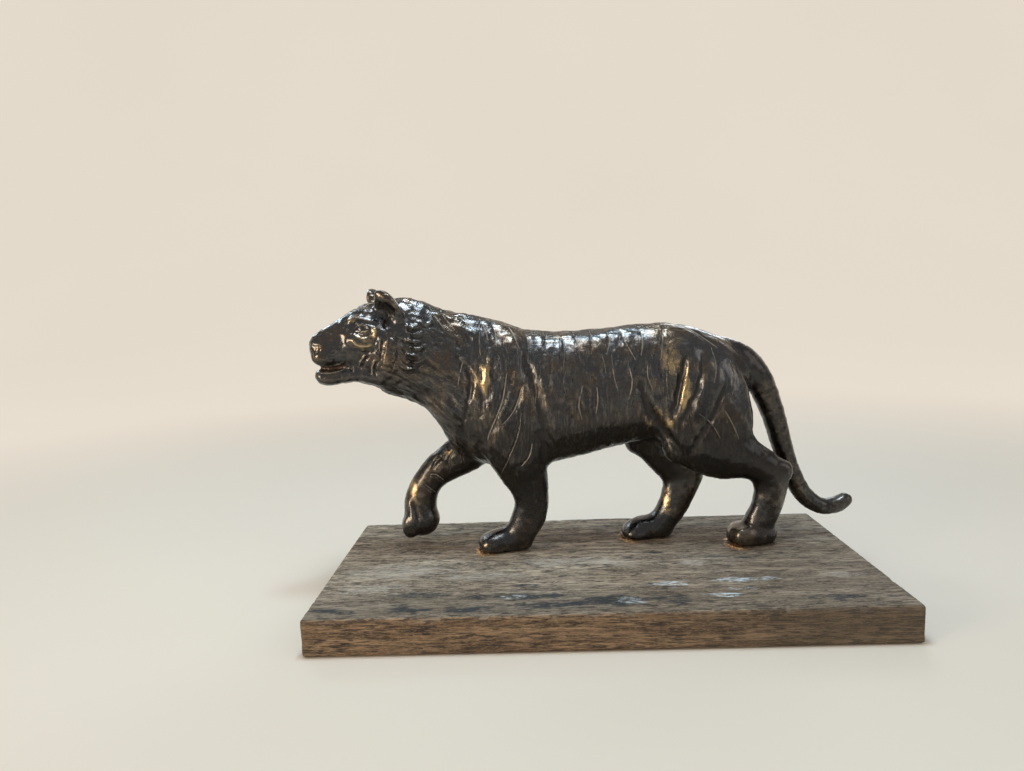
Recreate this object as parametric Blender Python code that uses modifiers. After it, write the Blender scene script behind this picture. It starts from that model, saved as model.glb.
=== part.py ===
"""A cast metal tiger, walking, on a weathered wooden board.

The casting is modelled the way a sculptor works in clay: lofted limbs and rounded masses
are laid over each other, fused by a voxel remesh, rubbed smooth and then carved. Lengths
are millimetres and MM turns them into metres. The nose points to -X, the near (left)
flank faces -Y, and the board lies on Z = 0. The tables of the animal count their heights
from the top of the board.
"""

from math import cos, pi, radians, sin

import bmesh
import bpy
import numpy as np
from mathutils import Euler, Matrix, Vector

MM = 0.001

# Wooden board
BOARD_LENGTH = 105.0
BOARD_DEPTH = 53.0
BOARD_THICKNESS = 6.9
BOARD_EDGE_ROUND = 0.9
BOARD_EDGE_STEPS = 3

# Cast pegs under the standing paws, glued into blind holes in the board
SEAT_GAP = 0.3
PEG_DIAMETER = 2.6
PEG_DEPTH = 3.8
PEG_CLEARANCE = 0.3
PEG_ROOT = 2.0
PEG_SIDES = 24
HOLE_OVERSHOOT = 1.0

# Standing paws: toe tips, heel, centre line, half width and the height of the toes
NEAR_FORE_PAW = (-24.6, -12.0, 6.4, 3.5, 3.6)
NEAR_HIND_PAW = (27.8, 38.8, 6.4, 3.5, 4.3)
FAR_HIND_PAW = (6.4, 18.6, 12.4, 3.4, 2.6)
TOES = 4
TOE_LENGTH = 5.4
TOE_PLUMPNESS = 0.6
TOE_LIFT = 0.42
TOE_LEAN = 8.0
PAW_HEIGHT = 4.8
PAD_LENGTH = 0.47
PAD_WIDTH = 0.93
PAD_LIFT = 0.4
OUTER_TOE_SETBACK = 1.6

# The lifted paw hangs from the last station of its leg; its places are given from there
LIFTED_PAW_PLACE = (0.6, 0.0, -0.1)
LIFTED_PAW_RADII = (4.0, 3.2, 3.8)
LIFTED_PAW_LEAN = -25.0
LIFTED_TOE_PLACE = (-2.0, 0.0, -0.9)
LIFTED_TOE_RADII = (2.2, 1.1, 3.0)
LIFTED_TOE_LEAN = 14.0
LIFTED_TOE_SPACING = 1.6
LIFTED_TOE_SETBACK = 0.25

# Clay: voxel size and rubs of the two fusing passes, and how finely the masses are cut
BODY_VOXEL = 0.75
BODY_RUBS = 8
FINE_VOXEL = 0.4
FINE_RUBS = 4
LOFT_SIDES = 20
MASS_SIDES = 24
MASS_RINGS = 16
DOME_STEPS = (0.4, 0.7, 0.9, 1.0)

# Thinning out: triangles left, and how much less than the body the face is thinned
CASTING_TRIANGLES = 11400
FACE_THINNING = 0.25
FACE_WEIGHT = 0.0001
FACE_MARGIN = 2.0
THROAT_MARGIN = 3.0

# The head turns towards the near side about the base of the skull
HEAD_PIVOT = (-38.0, 8.0, 0.0)
HEAD_YAW = radians(14.0)
EAR_CENTRES = {-1: (-2.9, 4.6, 51.3), 1: (-4.1, 4.6, 51.8)}
EAR_RADII = (1.4, 2.7, 4.7)
EAR_LEAN = -30.0
EAR_TURN = 50.0
EAR_TILT = 8.0
EAR_CUP_PLACE = (-0.8, 0.6, -0.9)
EAR_CUP_START = 0.8
EAR_CUP_RADIUS = 3.1
EAR_CUP_DEPTH = 1.35
EAR_CUP_RISE = 0.35
EYE_CENTRE = (-8.9, 4.3, 47.7)
EYE_SOCKET_RADIUS = 1.9
EYE_SOCKET_PUSH = (0.1, -0.5, 0.0)
NOSTRIL_CENTRE = (-17.3, 2.0, 43.6)
NOSTRIL_RADIUS = 0.9
NOSTRIL_PUSH = (0.24, -0.6, 0.0)

# Folds are drawn on either side of the body's upright middle plane
MIDDLE_Y = 9.0

# Trunk sections from the rump to the nape: x, top, bottom, half width, centre y
TRUNK = [
    (33.4, 39.4, 32.0, 2.6, 9.0),
    (31.0, 41.4, 28.5, 5.0, 9.0),
    (27.5, 43.4, 26.0, 6.6, 9.0),
    (22.0, 45.6, 24.6, 7.4, 9.0),
    (16.0, 46.8, 23.1, 7.5, 9.0),
    (10.0, 46.5, 22.1, 7.2, 9.0),
    (4.0, 46.0, 20.8, 7.6, 9.0),
    (-2.0, 45.6, 19.2, 8.2, 9.0),
    (-8.0, 45.6, 18.1, 8.4, 9.0),
    (-13.0, 46.3, 17.4, 8.2, 9.0),
    (-18.0, 48.2, 17.6, 7.6, 9.0),
    (-23.0, 49.5, 18.4, 7.2, 9.0),
    (-27.0, 50.2, 20.7, 6.8, 8.8),
    (-30.0, 51.2, 24.7, 6.5, 8.6),
    (-33.0, 52.4, 29.7, 6.4, 8.4),
    (-37.0, 53.7, 32.5, 6.4, 8.0),
    (-41.0, 53.3, 33.7, 5.8, 7.1),
    (-44.0, 52.3, 35.6, 4.6, 6.3),
]

# Limb stations from the body to the paw: x, y, height, depth radius, width radius
NEAR_FORE_LEG = [
    (-19.0, 4.6, 35.0, 5.5, 3.2),
    (-17.4, 4.2, 29.0, 7.0, 3.8),
    (-15.8, 4.3, 23.6, 6.8, 4.0),
    (-14.6, 4.8, 18.8, 5.7, 3.8),
    (-13.1, 5.4, 14.2, 4.4, 3.3),
    (-12.5, 5.8, 10.6, 3.7, 3.0),
    (-13.2, 6.1, 7.2, 3.7, 2.9),
    (-15.0, 6.3, 3.9, 3.5, 3.1),
]
FAR_FORE_LEG = [
    (-20.0, 13.2, 28.0, 6.0, 3.6),
    (-23.0, 13.2, 22.8, 5.4, 3.8),
    (-27.6, 13.0, 19.0, 4.4, 3.6),
    (-31.6, 12.9, 16.8, 3.8, 3.3),
    (-34.6, 12.8, 14.2, 3.4, 3.0),
    (-36.4, 12.7, 11.2, 3.5, 2.9),
    (-37.0, 12.6, 8.2, 3.8, 3.0),
    (-37.3, 12.5, 5.4, 3.4, 3.2),
]
NEAR_HIND_LEG = [
    (22.5, 5.0, 35.0, 8.5, 3.4),
    (22.8, 4.4, 29.0, 9.8, 4.2),
    (24.0, 4.4, 24.0, 9.2, 4.3),
    (27.2, 4.8, 20.2, 6.6, 4.0),
    (32.6, 5.4, 18.0, 4.3, 3.3),
    (36.8, 5.8, 15.0, 3.9, 2.8),
    (37.0, 6.0, 11.0, 3.5, 2.6),
    (36.0, 6.2, 7.0, 3.3, 2.6),
    (34.6, 6.4, 4.2, 3.3, 3.0),
]
FAR_HIND_LEG = [
    (20.0, 13.0, 35.0, 8.5, 3.4),
    (17.0, 13.4, 28.2, 8.6, 4.0),
    (15.9, 13.3, 22.6, 6.9, 4.0),
    (17.8, 13.0, 18.0, 5.6, 3.6),
    (20.4, 12.8, 13.6, 4.4, 2.9),
    (19.4, 12.6, 9.8, 3.8, 2.7),
    (17.6, 12.5, 5.8, 3.3, 2.7),
    (15.6, 12.4, 3.2, 3.1, 2.9),
]
TAIL = [
    (26.5, 9.0, 40.6, 3.2, 2.9),
    (31.5, 9.2, 38.6, 3.2, 2.9),
    (35.1, 9.8, 35.0, 3.0, 2.8),
    (37.3, 10.4, 30.8, 2.7, 2.6),
    (39.3, 10.9, 25.8, 2.4, 2.4),
    (41.0, 11.2, 20.0, 2.2, 2.2),
    (42.9, 11.3, 14.4, 2.0, 2.0),
    (45.6, 11.3, 9.0, 1.95, 1.95),
    (49.4, 11.2, 6.1, 1.8, 1.8),
    (52.8, 11.2, 6.3, 1.8, 1.8),
    (54.6, 11.2, 7.3, 1.6, 1.6),
]

# Muscles and bones over the trunk: centre, radii, turn about X, Y and Z in degrees
MUSCLES = [
    ((-17.8, 4.6, 36.6), (4.4, 3.1, 9.2), (0, 18, 0)),
    ((-21.8, 4.9, 29.0), (3.6, 3.2, 5.2), (0, 0, 0)),
    ((-15.0, 3.8, 27.0), (6.0, 3.5, 7.5), (0, -20, 0)),
    ((-19.5, 13.4, 36.6), (4.4, 3.1, 9.2), (0, 18, 0)),
    ((-20.0, 14.0, 28.0), (6.2, 3.5, 7.5), (0, 12, 0)),
    ((-26.5, 9.0, 27.0), (4.4, 6.0, 8.0), (0, -25, 0)),
    ((23.0, 4.7, 30.5), (9.4, 4.3, 11.0), (0, 6, 0)),
    ((19.6, 5.2, 38.0), (5.0, 3.4, 6.0), (0, 0, 0)),
    ((28.2, 5.6, 26.4), (5.2, 4.0, 8.8), (0, 0, 0)),
    ((18.2, 4.3, 22.4), (3.8, 3.4, 4.8), (0, 20, 0)),
    ((20.6, 13.3, 30.0), (9.6, 4.2, 11.0), (0, 10, 0)),
    ((17.6, 12.8, 38.0), (5.0, 3.4, 6.0), (0, 0, 0)),
    ((11.6, 13.4, 22.4), (3.6, 3.3, 4.8), (0, 25, 0)),
    ((39.8, 5.8, 15.5), (2.2, 1.9, 2.4), (0, 0, 0)),
    ((22.9, 12.8, 13.2), (2.2, 1.8, 2.2), (0, 0, 0)),
]

# Skull with the upper jaw, and the lower jaw, in the head's own frame, as the trunk's
SKULL = [
    (-18.9, 45.3, 42.8, 1.3, 0.0),
    (-18.3, 46.5, 41.2, 2.3, 0.0),
    (-17.0, 47.5, 40.3, 2.9, 0.0),
    (-15.0, 48.6, 40.0, 3.3, 0.0),
    (-13.0, 49.6, 39.9, 3.7, 0.0),
    (-11.2, 50.9, 39.3, 4.2, 0.0),
    (-8.8, 52.1, 38.4, 5.0, 0.0),
    (-5.5, 53.0, 36.6, 5.8, 0.0),
    (-1.0, 53.4, 35.0, 6.2, 0.0),
    (3.0, 52.7, 34.6, 5.6, 0.0),
]
LOWER_JAW = [
    (-18.2, 39.2, 37.8, 1.3, 0.0),
    (-17.5, 39.6, 36.8, 2.0, 0.0),
    (-15.5, 39.6, 36.2, 2.6, 0.0),
    (-13.0, 39.8, 36.6, 3.2, 0.0),
    (-10.0, 40.6, 36.8, 4.0, 0.0),
    (-5.5, 41.0, 35.4, 4.9, 0.0),
    (-1.0, 42.0, 34.2, 5.2, 0.0),
]

# Paired masses of the head, given for the far side: centre, radii, turn
FACE = [
    ((-18.2, 0.9, 44.2), (0.9, 1.2, 1.0), (0, 0, 0)),
    ((-16.0, 1.7, 42.3), (2.8, 1.9, 2.0), (0, 0, 0)),
    ((-8.4, 3.3, 44.9), (3.9, 2.3, 2.7), (0, 12, 0)),
    ((-8.6, 3.4, 49.1), (3.0, 1.0, 0.8), (0, 8, 18)),
    ((-3.0, 4.2, 42.6), (4.2, 2.5, 6.2), (0, -14, 0)),
    ((-13.4, 0.2, 39.8), (3.6, 1.7, 1.2), (0, 0, 0)),
]

# Folds carved on a flank, drawn as seen from that side: a line of (x, height), width, depth
NEAR_FOLDS = [
    ([(-13.2, 41.5), (-11.3, 34.2), (-9.7, 28.4), (-9.3, 21.0)], 1.4, 0.55),
    ([(-24.6, 41.0), (-24.2, 34.0), (-25.6, 28.3), (-25.2, 22.5)], 1.2, 0.5),
    ([(-16.9, 37.0), (-18.2, 30.8), (-21.6, 24.2)], 0.8, 0.4),
    ([(-13.9, 36.1), (-15.3, 31.3), (-18.6, 27.0)], 0.8, 0.4),
    ([(-14.0, 29.4), (-14.7, 24.7), (-17.6, 19.0)], 0.8, 0.35),
    ([(9.4, 36.4), (11.7, 29.4), (15.5, 23.2), (19.2, 19.0)], 1.4, 0.6),
    ([(16.2, 28.4), (18.0, 35.1), (19.4, 41.0)], 1.2, 0.65),
    ([(16.4, 24.8), (20.2, 31.3), (21.9, 38.6)], 0.9, 0.45),
    ([(19.2, 19.6), (22.6, 25.6), (25.4, 31.8), (26.9, 36.8)], 0.9, 0.4),
]
FAR_FOLDS = [
    ([(-14.4, 41.5), (-13.0, 34.2), (-12.6, 28.4), (-13.8, 21.0)], 1.4, 0.55),
    ([(-25.0, 41.0), (-24.8, 34.0), (-26.0, 27.3)], 1.2, 0.5),
    ([(-18.4, 37.0), (-20.0, 30.8), (-24.0, 24.1)], 0.8, 0.4),
    ([(7.2, 35.4), (8.6, 28.4), (11.2, 21.0)], 1.4, 0.6),
    ([(14.2, 28.4), (16.0, 35.1), (17.4, 41.0)], 1.2, 0.65),
    ([(15.0, 22.8), (19.2, 31.3), (21.0, 38.6)], 0.9, 0.45),
]
# The mouth line, the eyelid, the cheek stripes and the front edge of the ruff
FACE_FOLDS = [
    ([(-18.6, 40.0), (-15.5, 39.9), (-12.2, 40.3)], 0.45, 0.5),
    ([(-10.8, 47.2), (-9.4, 48.4), (-7.2, 47.8)], 0.4, 0.25),
    ([(-8.0, 43.0), (-9.5, 39.9)], 0.5, 0.35),
    ([(-6.6, 42.0), (-7.2, 38.2)], 0.5, 0.35),
    ([(-2.4, 48.4), (-4.5, 43.6), (-5.7, 38.6)], 0.7, 0.45),
]


def new_object(bm, name):
    """An object, in no collection yet, that holds a bmesh in millimetres."""
    bmesh.ops.recalc_face_normals(bm, faces=bm.faces)
    mesh = bpy.data.meshes.new(name)
    bm.to_mesh(mesh)
    bm.free()
    return bpy.data.objects.new(name, mesh)


def loft(rings, name):
    """A skin through closed rings of points, with a face over each end."""
    bm = bmesh.new()
    loops = [[bm.verts.new(point) for point in ring] for ring in rings]
    for lower, upper in zip(loops, loops[1:]):
        for i in range(len(lower)):
            bm.faces.new((lower[i - 1], lower[i], upper[i], upper[i - 1]))
    bm.faces.new(loops[0])
    bm.faces.new(loops[-1])
    return new_object(bm, name)


def upright_ring(x, top, bottom, half_width, y, egg=0.12, corner=2.3):
    """One upright section, a squarish oval that is fuller below its middle than above."""
    ring = []
    for i in range(2 * LOFT_SIDES):
        c, s = cos(pi * i / LOFT_SIDES), sin(pi * i / LOFT_SIDES)
        across = half_width * np.sign(c) * abs(c) ** (2 / corner)
        upward = (top - bottom) / 2 * np.sign(s) * abs(s) ** (2 / corner)
        ring.append((x, y + across * (1 - egg * s), (top + bottom) / 2 + upward))
    return ring


def smooth_path(rows, steps=4):
    """A Catmull-Rom curve through the rows, so that a limb has no elbow between two."""
    rows = [np.array(row, float) for row in rows]
    rows = [2 * rows[0] - rows[1], *rows, 2 * rows[-1] - rows[-2]]
    curve = []
    for a, b, c, d in zip(rows, rows[1:], rows[2:], rows[3:]):
        for t in np.arange(steps) / steps:
            curve.append((2 * b + (c - a) * t + (2 * a - 5 * b + 4 * c - d) * t**2
                          + (3 * b - a - 3 * c + d) * t**3) / 2)
    return curve + [rows[-2]]


def round_end(row, outward):
    """Shrinking copies of a limb's last row that close it with a dome."""
    dome = []
    for share in DOME_STEPS:
        ring = row.copy()
        ring[:3] += outward * share * min(row[3:])
        ring[3:] *= max(1 - share**2, 0.02) ** 0.5
        dome.append(ring)
    return dome


def limb(stations, name):
    """A tapered oval limb along a curve, with domed ends."""
    rows = smooth_path(stations)
    start, end = rows[0][:3] - rows[1][:3], rows[-1][:3] - rows[-2][:3]
    rows = (round_end(rows[0], start / np.linalg.norm(start))[::-1] + rows
            + round_end(rows[-1], end / np.linalg.norm(end)))
    centres = [Vector(row[:3]) for row in rows]
    rings = []
    for i, row in enumerate(rows):
        along = centres[min(i + 1, len(rows) - 1)] - centres[max(i - 1, 0)]
        deep = along.cross(Vector((0, 1, 0))).normalized()
        wide = deep.cross(along).normalized()
        turns = [2 * pi * k / LOFT_SIDES for k in range(LOFT_SIDES)]
        rings.append([centres[i] + deep * row[3] * cos(t) + wide * row[4] * sin(t)
                      for t in turns])
    return loft(rings, name)


def mass(centre, radii, turn=(0, 0, 0)):
    """A rounded lump of clay, spun about Z, then leaned about Y, then tilted about X."""
    bm = bmesh.new()
    bmesh.ops.create_uvsphere(bm, u_segments=MASS_SIDES, v_segments=MASS_RINGS, radius=1.0)
    spin = Euler([radians(angle) for angle in turn], "ZYX").to_matrix().to_4x4()
    place = Matrix.Translation(centre) @ spin @ Matrix.Diagonal((*radii, 1.0))
    bmesh.ops.transform(bm, matrix=place, verts=bm.verts)
    return new_object(bm, "mass")


def standing_paw(toe_x, heel_x, y, half_width, toe_height):
    """A flat pad of clay with a fan of toes in front, the outer toes set back."""
    pad_radius = PAD_LENGTH * (heel_x - toe_x)
    spacing = 2 * half_width / TOES
    pieces = [mass((heel_x - pad_radius, y, PAW_HEIGHT * PAD_LIFT),
                   (pad_radius, half_width * PAD_WIDTH, PAW_HEIGHT * (1 - PAD_LIFT)))]
    for i in range(TOES):
        offset = (i - (TOES - 1) / 2) * spacing
        setback = OUTER_TOE_SETBACK * (offset / half_width) ** 2
        centre = (toe_x + TOE_LENGTH / 2 + setback, y + offset, toe_height * TOE_LIFT)
        radii = (TOE_LENGTH / 2, spacing * TOE_PLUMPNESS, toe_height * (1 - TOE_LIFT))
        pieces.append(mass(centre, radii, (0, TOE_LEAN, 0)))
    return pieces


def lifted_paw():
    """The raised fore paw, bent at the wrist so that its toes hang down."""
    wrist = Vector(FAR_FORE_LEG[-1][:3])
    pieces = [mass(wrist + Vector(LIFTED_PAW_PLACE), LIFTED_PAW_RADII, (0, LIFTED_PAW_LEAN, 0))]
    for i in range(TOES):
        offset = (i - (TOES - 1) / 2) * LIFTED_TOE_SPACING
        fan = Vector((LIFTED_TOE_SETBACK * abs(offset), offset, 0.0))
        centre = wrist + Vector(LIFTED_TOE_PLACE) + fan
        pieces.append(mass(centre, LIFTED_TOE_RADII, (0, LIFTED_TOE_LEAN, 0)))
    return pieces


def body_place():
    """The frame in which the body's folds are drawn."""
    return Matrix.Translation((0.0, MIDDLE_Y, 0.0))


def head_place():
    """The frame of the turned head, with the head's middle plane at Y = 0."""
    return Matrix.Translation(HEAD_PIVOT) @ Matrix.Rotation(HEAD_YAW, 4, "Z")


def head():
    """Skull, jaw, cheeks, brows and ears, turned together with the head."""
    pieces = [loft([upright_ring(*row) for row in table], "jaw") for table in (SKULL, LOWER_JAW)]
    for side in (-1, 1):
        for (x, y, z), radii, (about_x, about_y, about_z) in FACE:
            turn = (side * about_x, about_y, side * about_z)
            pieces.append(mass((x, side * y, z), radii, turn))
        x, y, z = EAR_CENTRES[side]
        turn = (side * -EAR_TILT, EAR_LEAN, side * -EAR_TURN)
        pieces.append(mass((x, side * y, z), EAR_RADII, turn))
    for piece in pieces:
        piece.data.transform(head_place())
    return pieces


def fused(pieces, voxel, rubs, name):
    """Joins pieces of clay, fuses them with a voxel remesh and rubs the seams smooth."""
    bm = bmesh.new()
    for piece in pieces:
        bm.from_mesh(piece.data)
        bpy.data.objects.remove(piece)
    lump = new_object(bm, name + "_clay")
    bpy.context.scene.collection.objects.link(lump)
    remesh = lump.modifiers.new("fuse", "REMESH")
    remesh.mode = "VOXEL"
    remesh.voxel_size = voxel
    rub = lump.modifiers.new("rub", "SMOOTH")
    rub.iterations = rubs
    graph = bpy.context.evaluated_depsgraph_get()
    mesh = bpy.data.meshes.new_from_object(lump.evaluated_get(graph))
    bpy.data.objects.remove(lump)
    return bpy.data.objects.new(name, mesh)


def read_points(mesh):
    """The mesh's points and their normals, as two tables."""
    points = np.empty(3 * len(mesh.vertices), np.float32)
    normals = np.empty(3 * len(mesh.vertices), np.float32)
    mesh.vertices.foreach_get("co", points)
    mesh.vertex_normals.foreach_get("vector", normals)
    return points.reshape(-1, 3).astype(float), normals.reshape(-1, 3).astype(float)


def write_points(mesh, points):
    mesh.vertices.foreach_set("co", points.astype(np.float32).ravel())
    mesh.update()


def along_path(points, path):
    """Each point's distance from a smooth line, and where along the line that is, 0 to 1."""
    corners = np.array(smooth_path(path))
    steps = np.linalg.norm(np.diff(corners, axis=0), axis=1)
    starts = np.concatenate(([0], np.cumsum(steps)))
    nearest, where = np.full(len(points), np.inf), np.zeros(len(points))
    for a, b, length, start in zip(corners, corners[1:], steps, starts):
        share = np.clip((points - a) @ (b - a) / length**2, 0, 1)
        away = np.linalg.norm(points - a - share[:, None] * (b - a), axis=1)
        closer = away < nearest
        nearest[closer] = away[closer]
        where[closer] = (start + share[closer] * length) / starts[-1]
    return nearest, where


def carve_folds(mesh, folds, side, place):
    """Presses folds, drawn as seen from one side, into the surface that faces that side."""
    points, normals = read_points(mesh)
    back = np.array(place.inverted())
    seen = points @ back[:3, :3].T + back[:3, 3]
    outward = side * (normals @ back[:3, :3].T)[:, 1]
    facing = np.clip(3 * outward - 0.4, 0, 1) * (side * seen[:, 1] > 0)
    for path, width, depth in folds:
        away, where = along_path(seen[:, [0, 2]], path)
        taper = np.clip(4.5 * where * (1 - where), 0, 1) ** 0.7
        points -= normals * (depth * facing * taper * np.exp(-2 * (away / width) ** 2))[:, None]
    write_points(mesh, points)


def dent(mesh, centre, radius, push):
    """Presses a round hollow with a finger that moves along push."""
    points, normals = read_points(mesh)
    reach = np.clip(1 - (np.linalg.norm(points - centre, axis=1) / radius) ** 2, 0, 1) ** 1.5
    facing = np.clip(-2 * normals @ (np.array(push) / np.linalg.norm(push)), 0, 1)
    write_points(mesh, points + np.array(push) * (reach * facing)[:, None])


def carve_face(mesh):
    """Folds of the face, eye sockets, nostrils and ear cups."""
    place = head_place()
    turn = place.to_3x3()
    angle = radians(EAR_TURN)
    for side in (-1, 1):
        mirror = Matrix.Diagonal((1.0, side, 1.0))
        for centre, radius, push in ((EYE_CENTRE, EYE_SOCKET_RADIUS, EYE_SOCKET_PUSH),
                                     (NOSTRIL_CENTRE, NOSTRIL_RADIUS, NOSTRIL_PUSH)):
            dent(mesh, place @ (mirror @ Vector(centre)), radius, turn @ mirror @ Vector(push))
        inward = turn @ mirror @ Vector((cos(angle), -sin(angle), EAR_CUP_RISE))
        cup = mirror @ (Vector(EAR_CENTRES[side]) + Vector(EAR_CUP_PLACE))
        dent(mesh, place @ cup - inward * EAR_CUP_START, EAR_CUP_RADIUS, inward * EAR_CUP_DEPTH)
        carve_folds(mesh, FACE_FOLDS, side, place)


def slab(name, length, depth, low, high):
    """A block centred on X = Y = 0 between two heights."""
    bm = bmesh.new()
    bmesh.ops.create_cube(bm, size=1.0)
    bmesh.ops.scale(bm, vec=(length, depth, high - low), verts=bm.verts)
    bmesh.ops.translate(bm, vec=(0, 0, (low + high) / 2), verts=bm.verts)
    return new_object(bm, name)


def cylinder(name, x, y, low, high, radius):
    bm = bmesh.new()
    bmesh.ops.create_cone(bm, cap_ends=True, segments=PEG_SIDES, radius1=radius,
                          radius2=radius, depth=high - low)
    bmesh.ops.translate(bm, vec=(x, y, (low + high) / 2), verts=bm.verts)
    return new_object(bm, name)


def add_cutter(target, cutter, operation, cutters):
    """Applies one object to another with an exact Boolean, and files the tool away."""
    cutters.objects.link(cutter)
    cutter.data.transform(Matrix.Scale(MM, 4))
    cutter.hide_render = True
    cutter.display_type = "WIRE"
    step = target.modifiers.new(cutter.name, "BOOLEAN")
    step.operation = operation
    step.solver = "EXACT"
    step.object = cutter


def material(obj, name, colour, roughness, metallic):
    made = bpy.data.materials.new(name)
    made.use_nodes = True
    shader = made.node_tree.nodes["Principled BSDF"]
    shader.inputs["Base Color"].default_value = (*colour, 1.0)
    shader.inputs["Roughness"].default_value = roughness
    shader.inputs["Metallic"].default_value = metallic
    obj.data.materials.clear()
    obj.data.materials.append(made)


def casting():
    """The animal in clay, carved, standing on the seats of the board."""
    trunk = loft([upright_ring(*row) for row in TRUNK], "trunk")
    legs = (NEAR_FORE_LEG, FAR_FORE_LEG, NEAR_HIND_LEG, FAR_HIND_LEG)
    body = [trunk] + [mass(*row) for row in MUSCLES] + [limb(row, "leg") for row in legs]
    pieces = [fused(body, BODY_VOXEL, BODY_RUBS, "body"), limb(TAIL, "tail")] + head() + lifted_paw()
    for paw in (NEAR_FORE_PAW, NEAR_HIND_PAW, FAR_HIND_PAW):
        pieces += standing_paw(*paw)
    tiger = fused(pieces, FINE_VOXEL, FINE_RUBS, "tiger")
    carve_folds(tiger.data, NEAR_FOLDS, -1, body_place())
    carve_folds(tiger.data, FAR_FOLDS, 1, body_place())
    carve_face(tiger.data)
    tiger.data.transform(Matrix.Scale(MM, 4) @ Matrix.Translation((0, 0, BOARD_THICKNESS)))
    return tiger


def keep_face_fine(tiger):
    """A vertex group that lets the face keep more of its triangles than the body."""
    group = tiger.vertex_groups.new(name="thin_out")
    front = (HEAD_PIVOT[0] - FACE_MARGIN) * MM
    throat = (BOARD_THICKNESS + LOWER_JAW[-1][2] - THROAT_MARGIN) * MM
    face = [v.index for v in tiger.data.vertices if v.co.x < front and v.co.z > throat]
    rest = sorted(set(range(len(tiger.data.vertices))) - set(face))
    group.add(rest, 1.0, "REPLACE")
    group.add(face, FACE_THINNING, "REPLACE")
    return group.name


def main():
    for obj in list(bpy.data.objects):
        bpy.data.objects.remove(obj, do_unlink=True)
    product = bpy.data.collections.new("tiger_figurine")
    cutters = bpy.data.collections.new("cutters")
    for made in (product, cutters):
        bpy.context.scene.collection.children.link(made)

    tiger = casting()
    product.objects.link(tiger)
    thin = tiger.modifiers.new("thin", "DECIMATE")
    thin.ratio = CASTING_TRIANGLES / (2 * len(tiger.data.polygons))
    thin.use_collapse_triangulate = True
    thin.vertex_group = keep_face_fine(tiger)
    thin.vertex_group_factor = FACE_WEIGHT

    plank = slab("wooden_base", BOARD_LENGTH, BOARD_DEPTH, 0.0, BOARD_THICKNESS)
    plank.data.transform(Matrix.Scale(MM, 4))
    product.objects.link(plank)
    edge = plank.modifiers.new("eased_edges", "BEVEL")
    edge.width = BOARD_EDGE_ROUND * MM
    edge.segments = BOARD_EDGE_STEPS

    sole_height = BOARD_THICKNESS + SEAT_GAP
    below = slab("sole_plane", 2 * BOARD_LENGTH, 2 * BOARD_DEPTH, -BOARD_THICKNESS, sole_height)
    add_cutter(tiger, below, "DIFFERENCE", cutters)
    paws = {"near_fore": NEAR_FORE_PAW, "near_hind": NEAR_HIND_PAW, "far_hind": FAR_HIND_PAW}
    for name, (toe_x, heel_x, y, *_) in paws.items():
        x = (toe_x + heel_x) / 2
        foot = BOARD_THICKNESS - PEG_DEPTH
        peg = cylinder(name + "_peg", x, y, foot, BOARD_THICKNESS + PEG_ROOT, PEG_DIAMETER / 2)
        add_cutter(tiger, peg, "UNION", cutters)
        hole = cylinder(name + "_hole", x, y, foot - PEG_CLEARANCE,
                        BOARD_THICKNESS + HOLE_OVERSHOOT, PEG_DIAMETER / 2 + PEG_CLEARANCE)
        add_cutter(plank, hole, "DIFFERENCE", cutters)

    material(tiger, "blackened_cast_metal", (0.05, 0.043, 0.036), 0.28, 1.0)
    material(plank, "weathered_hardwood", (0.30, 0.22, 0.15), 0.75, 0.0)
    for obj in (tiger, plank):
        obj.data.shade_smooth()
        obj.data.set_sharp_from_angle(angle=radians(40))


main()
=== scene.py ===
# %% [markdown]
# # A cast metal tiger on a weathered board
# A palm-sized casting of a walking tiger, blackened and rubbed bright on its heights,
# stands on a short piece of old hardwood. The CAD model gives the places and sizes. This
# lesson works the surface of its two solids and gives each a finish made of nodes.

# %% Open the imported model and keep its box
from math import cos, pi, radians, sin

import bmesh
import bpy
import numpy as np
from mathutils import Matrix, Vector
from mathutils.bvhtree import BVHTree


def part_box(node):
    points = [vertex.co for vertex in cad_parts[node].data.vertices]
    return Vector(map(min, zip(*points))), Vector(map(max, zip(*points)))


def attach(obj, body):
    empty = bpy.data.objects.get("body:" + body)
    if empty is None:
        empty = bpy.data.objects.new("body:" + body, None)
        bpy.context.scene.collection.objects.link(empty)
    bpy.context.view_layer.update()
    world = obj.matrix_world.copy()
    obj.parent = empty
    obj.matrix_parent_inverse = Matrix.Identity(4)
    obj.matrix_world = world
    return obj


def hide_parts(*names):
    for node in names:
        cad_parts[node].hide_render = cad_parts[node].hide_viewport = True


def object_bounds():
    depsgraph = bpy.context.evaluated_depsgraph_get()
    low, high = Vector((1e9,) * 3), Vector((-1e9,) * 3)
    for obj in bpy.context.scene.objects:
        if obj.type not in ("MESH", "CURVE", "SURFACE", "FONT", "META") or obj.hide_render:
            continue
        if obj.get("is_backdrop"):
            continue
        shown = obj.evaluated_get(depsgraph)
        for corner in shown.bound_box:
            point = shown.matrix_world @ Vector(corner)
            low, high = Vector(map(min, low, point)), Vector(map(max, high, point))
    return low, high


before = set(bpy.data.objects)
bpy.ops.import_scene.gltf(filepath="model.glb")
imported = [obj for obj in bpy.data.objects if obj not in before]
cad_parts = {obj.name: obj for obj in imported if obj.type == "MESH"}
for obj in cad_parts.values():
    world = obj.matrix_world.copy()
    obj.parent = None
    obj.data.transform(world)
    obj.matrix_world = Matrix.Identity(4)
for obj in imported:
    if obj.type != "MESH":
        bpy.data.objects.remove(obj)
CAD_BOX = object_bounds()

MM = 0.001
BOARD_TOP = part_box("wooden_base")[1].z / MM


def linked(name, data):
    """A new object in the scene, at the origin."""
    made = bpy.data.objects.new(name, data)
    bpy.context.scene.collection.objects.link(made)
    return made


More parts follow.
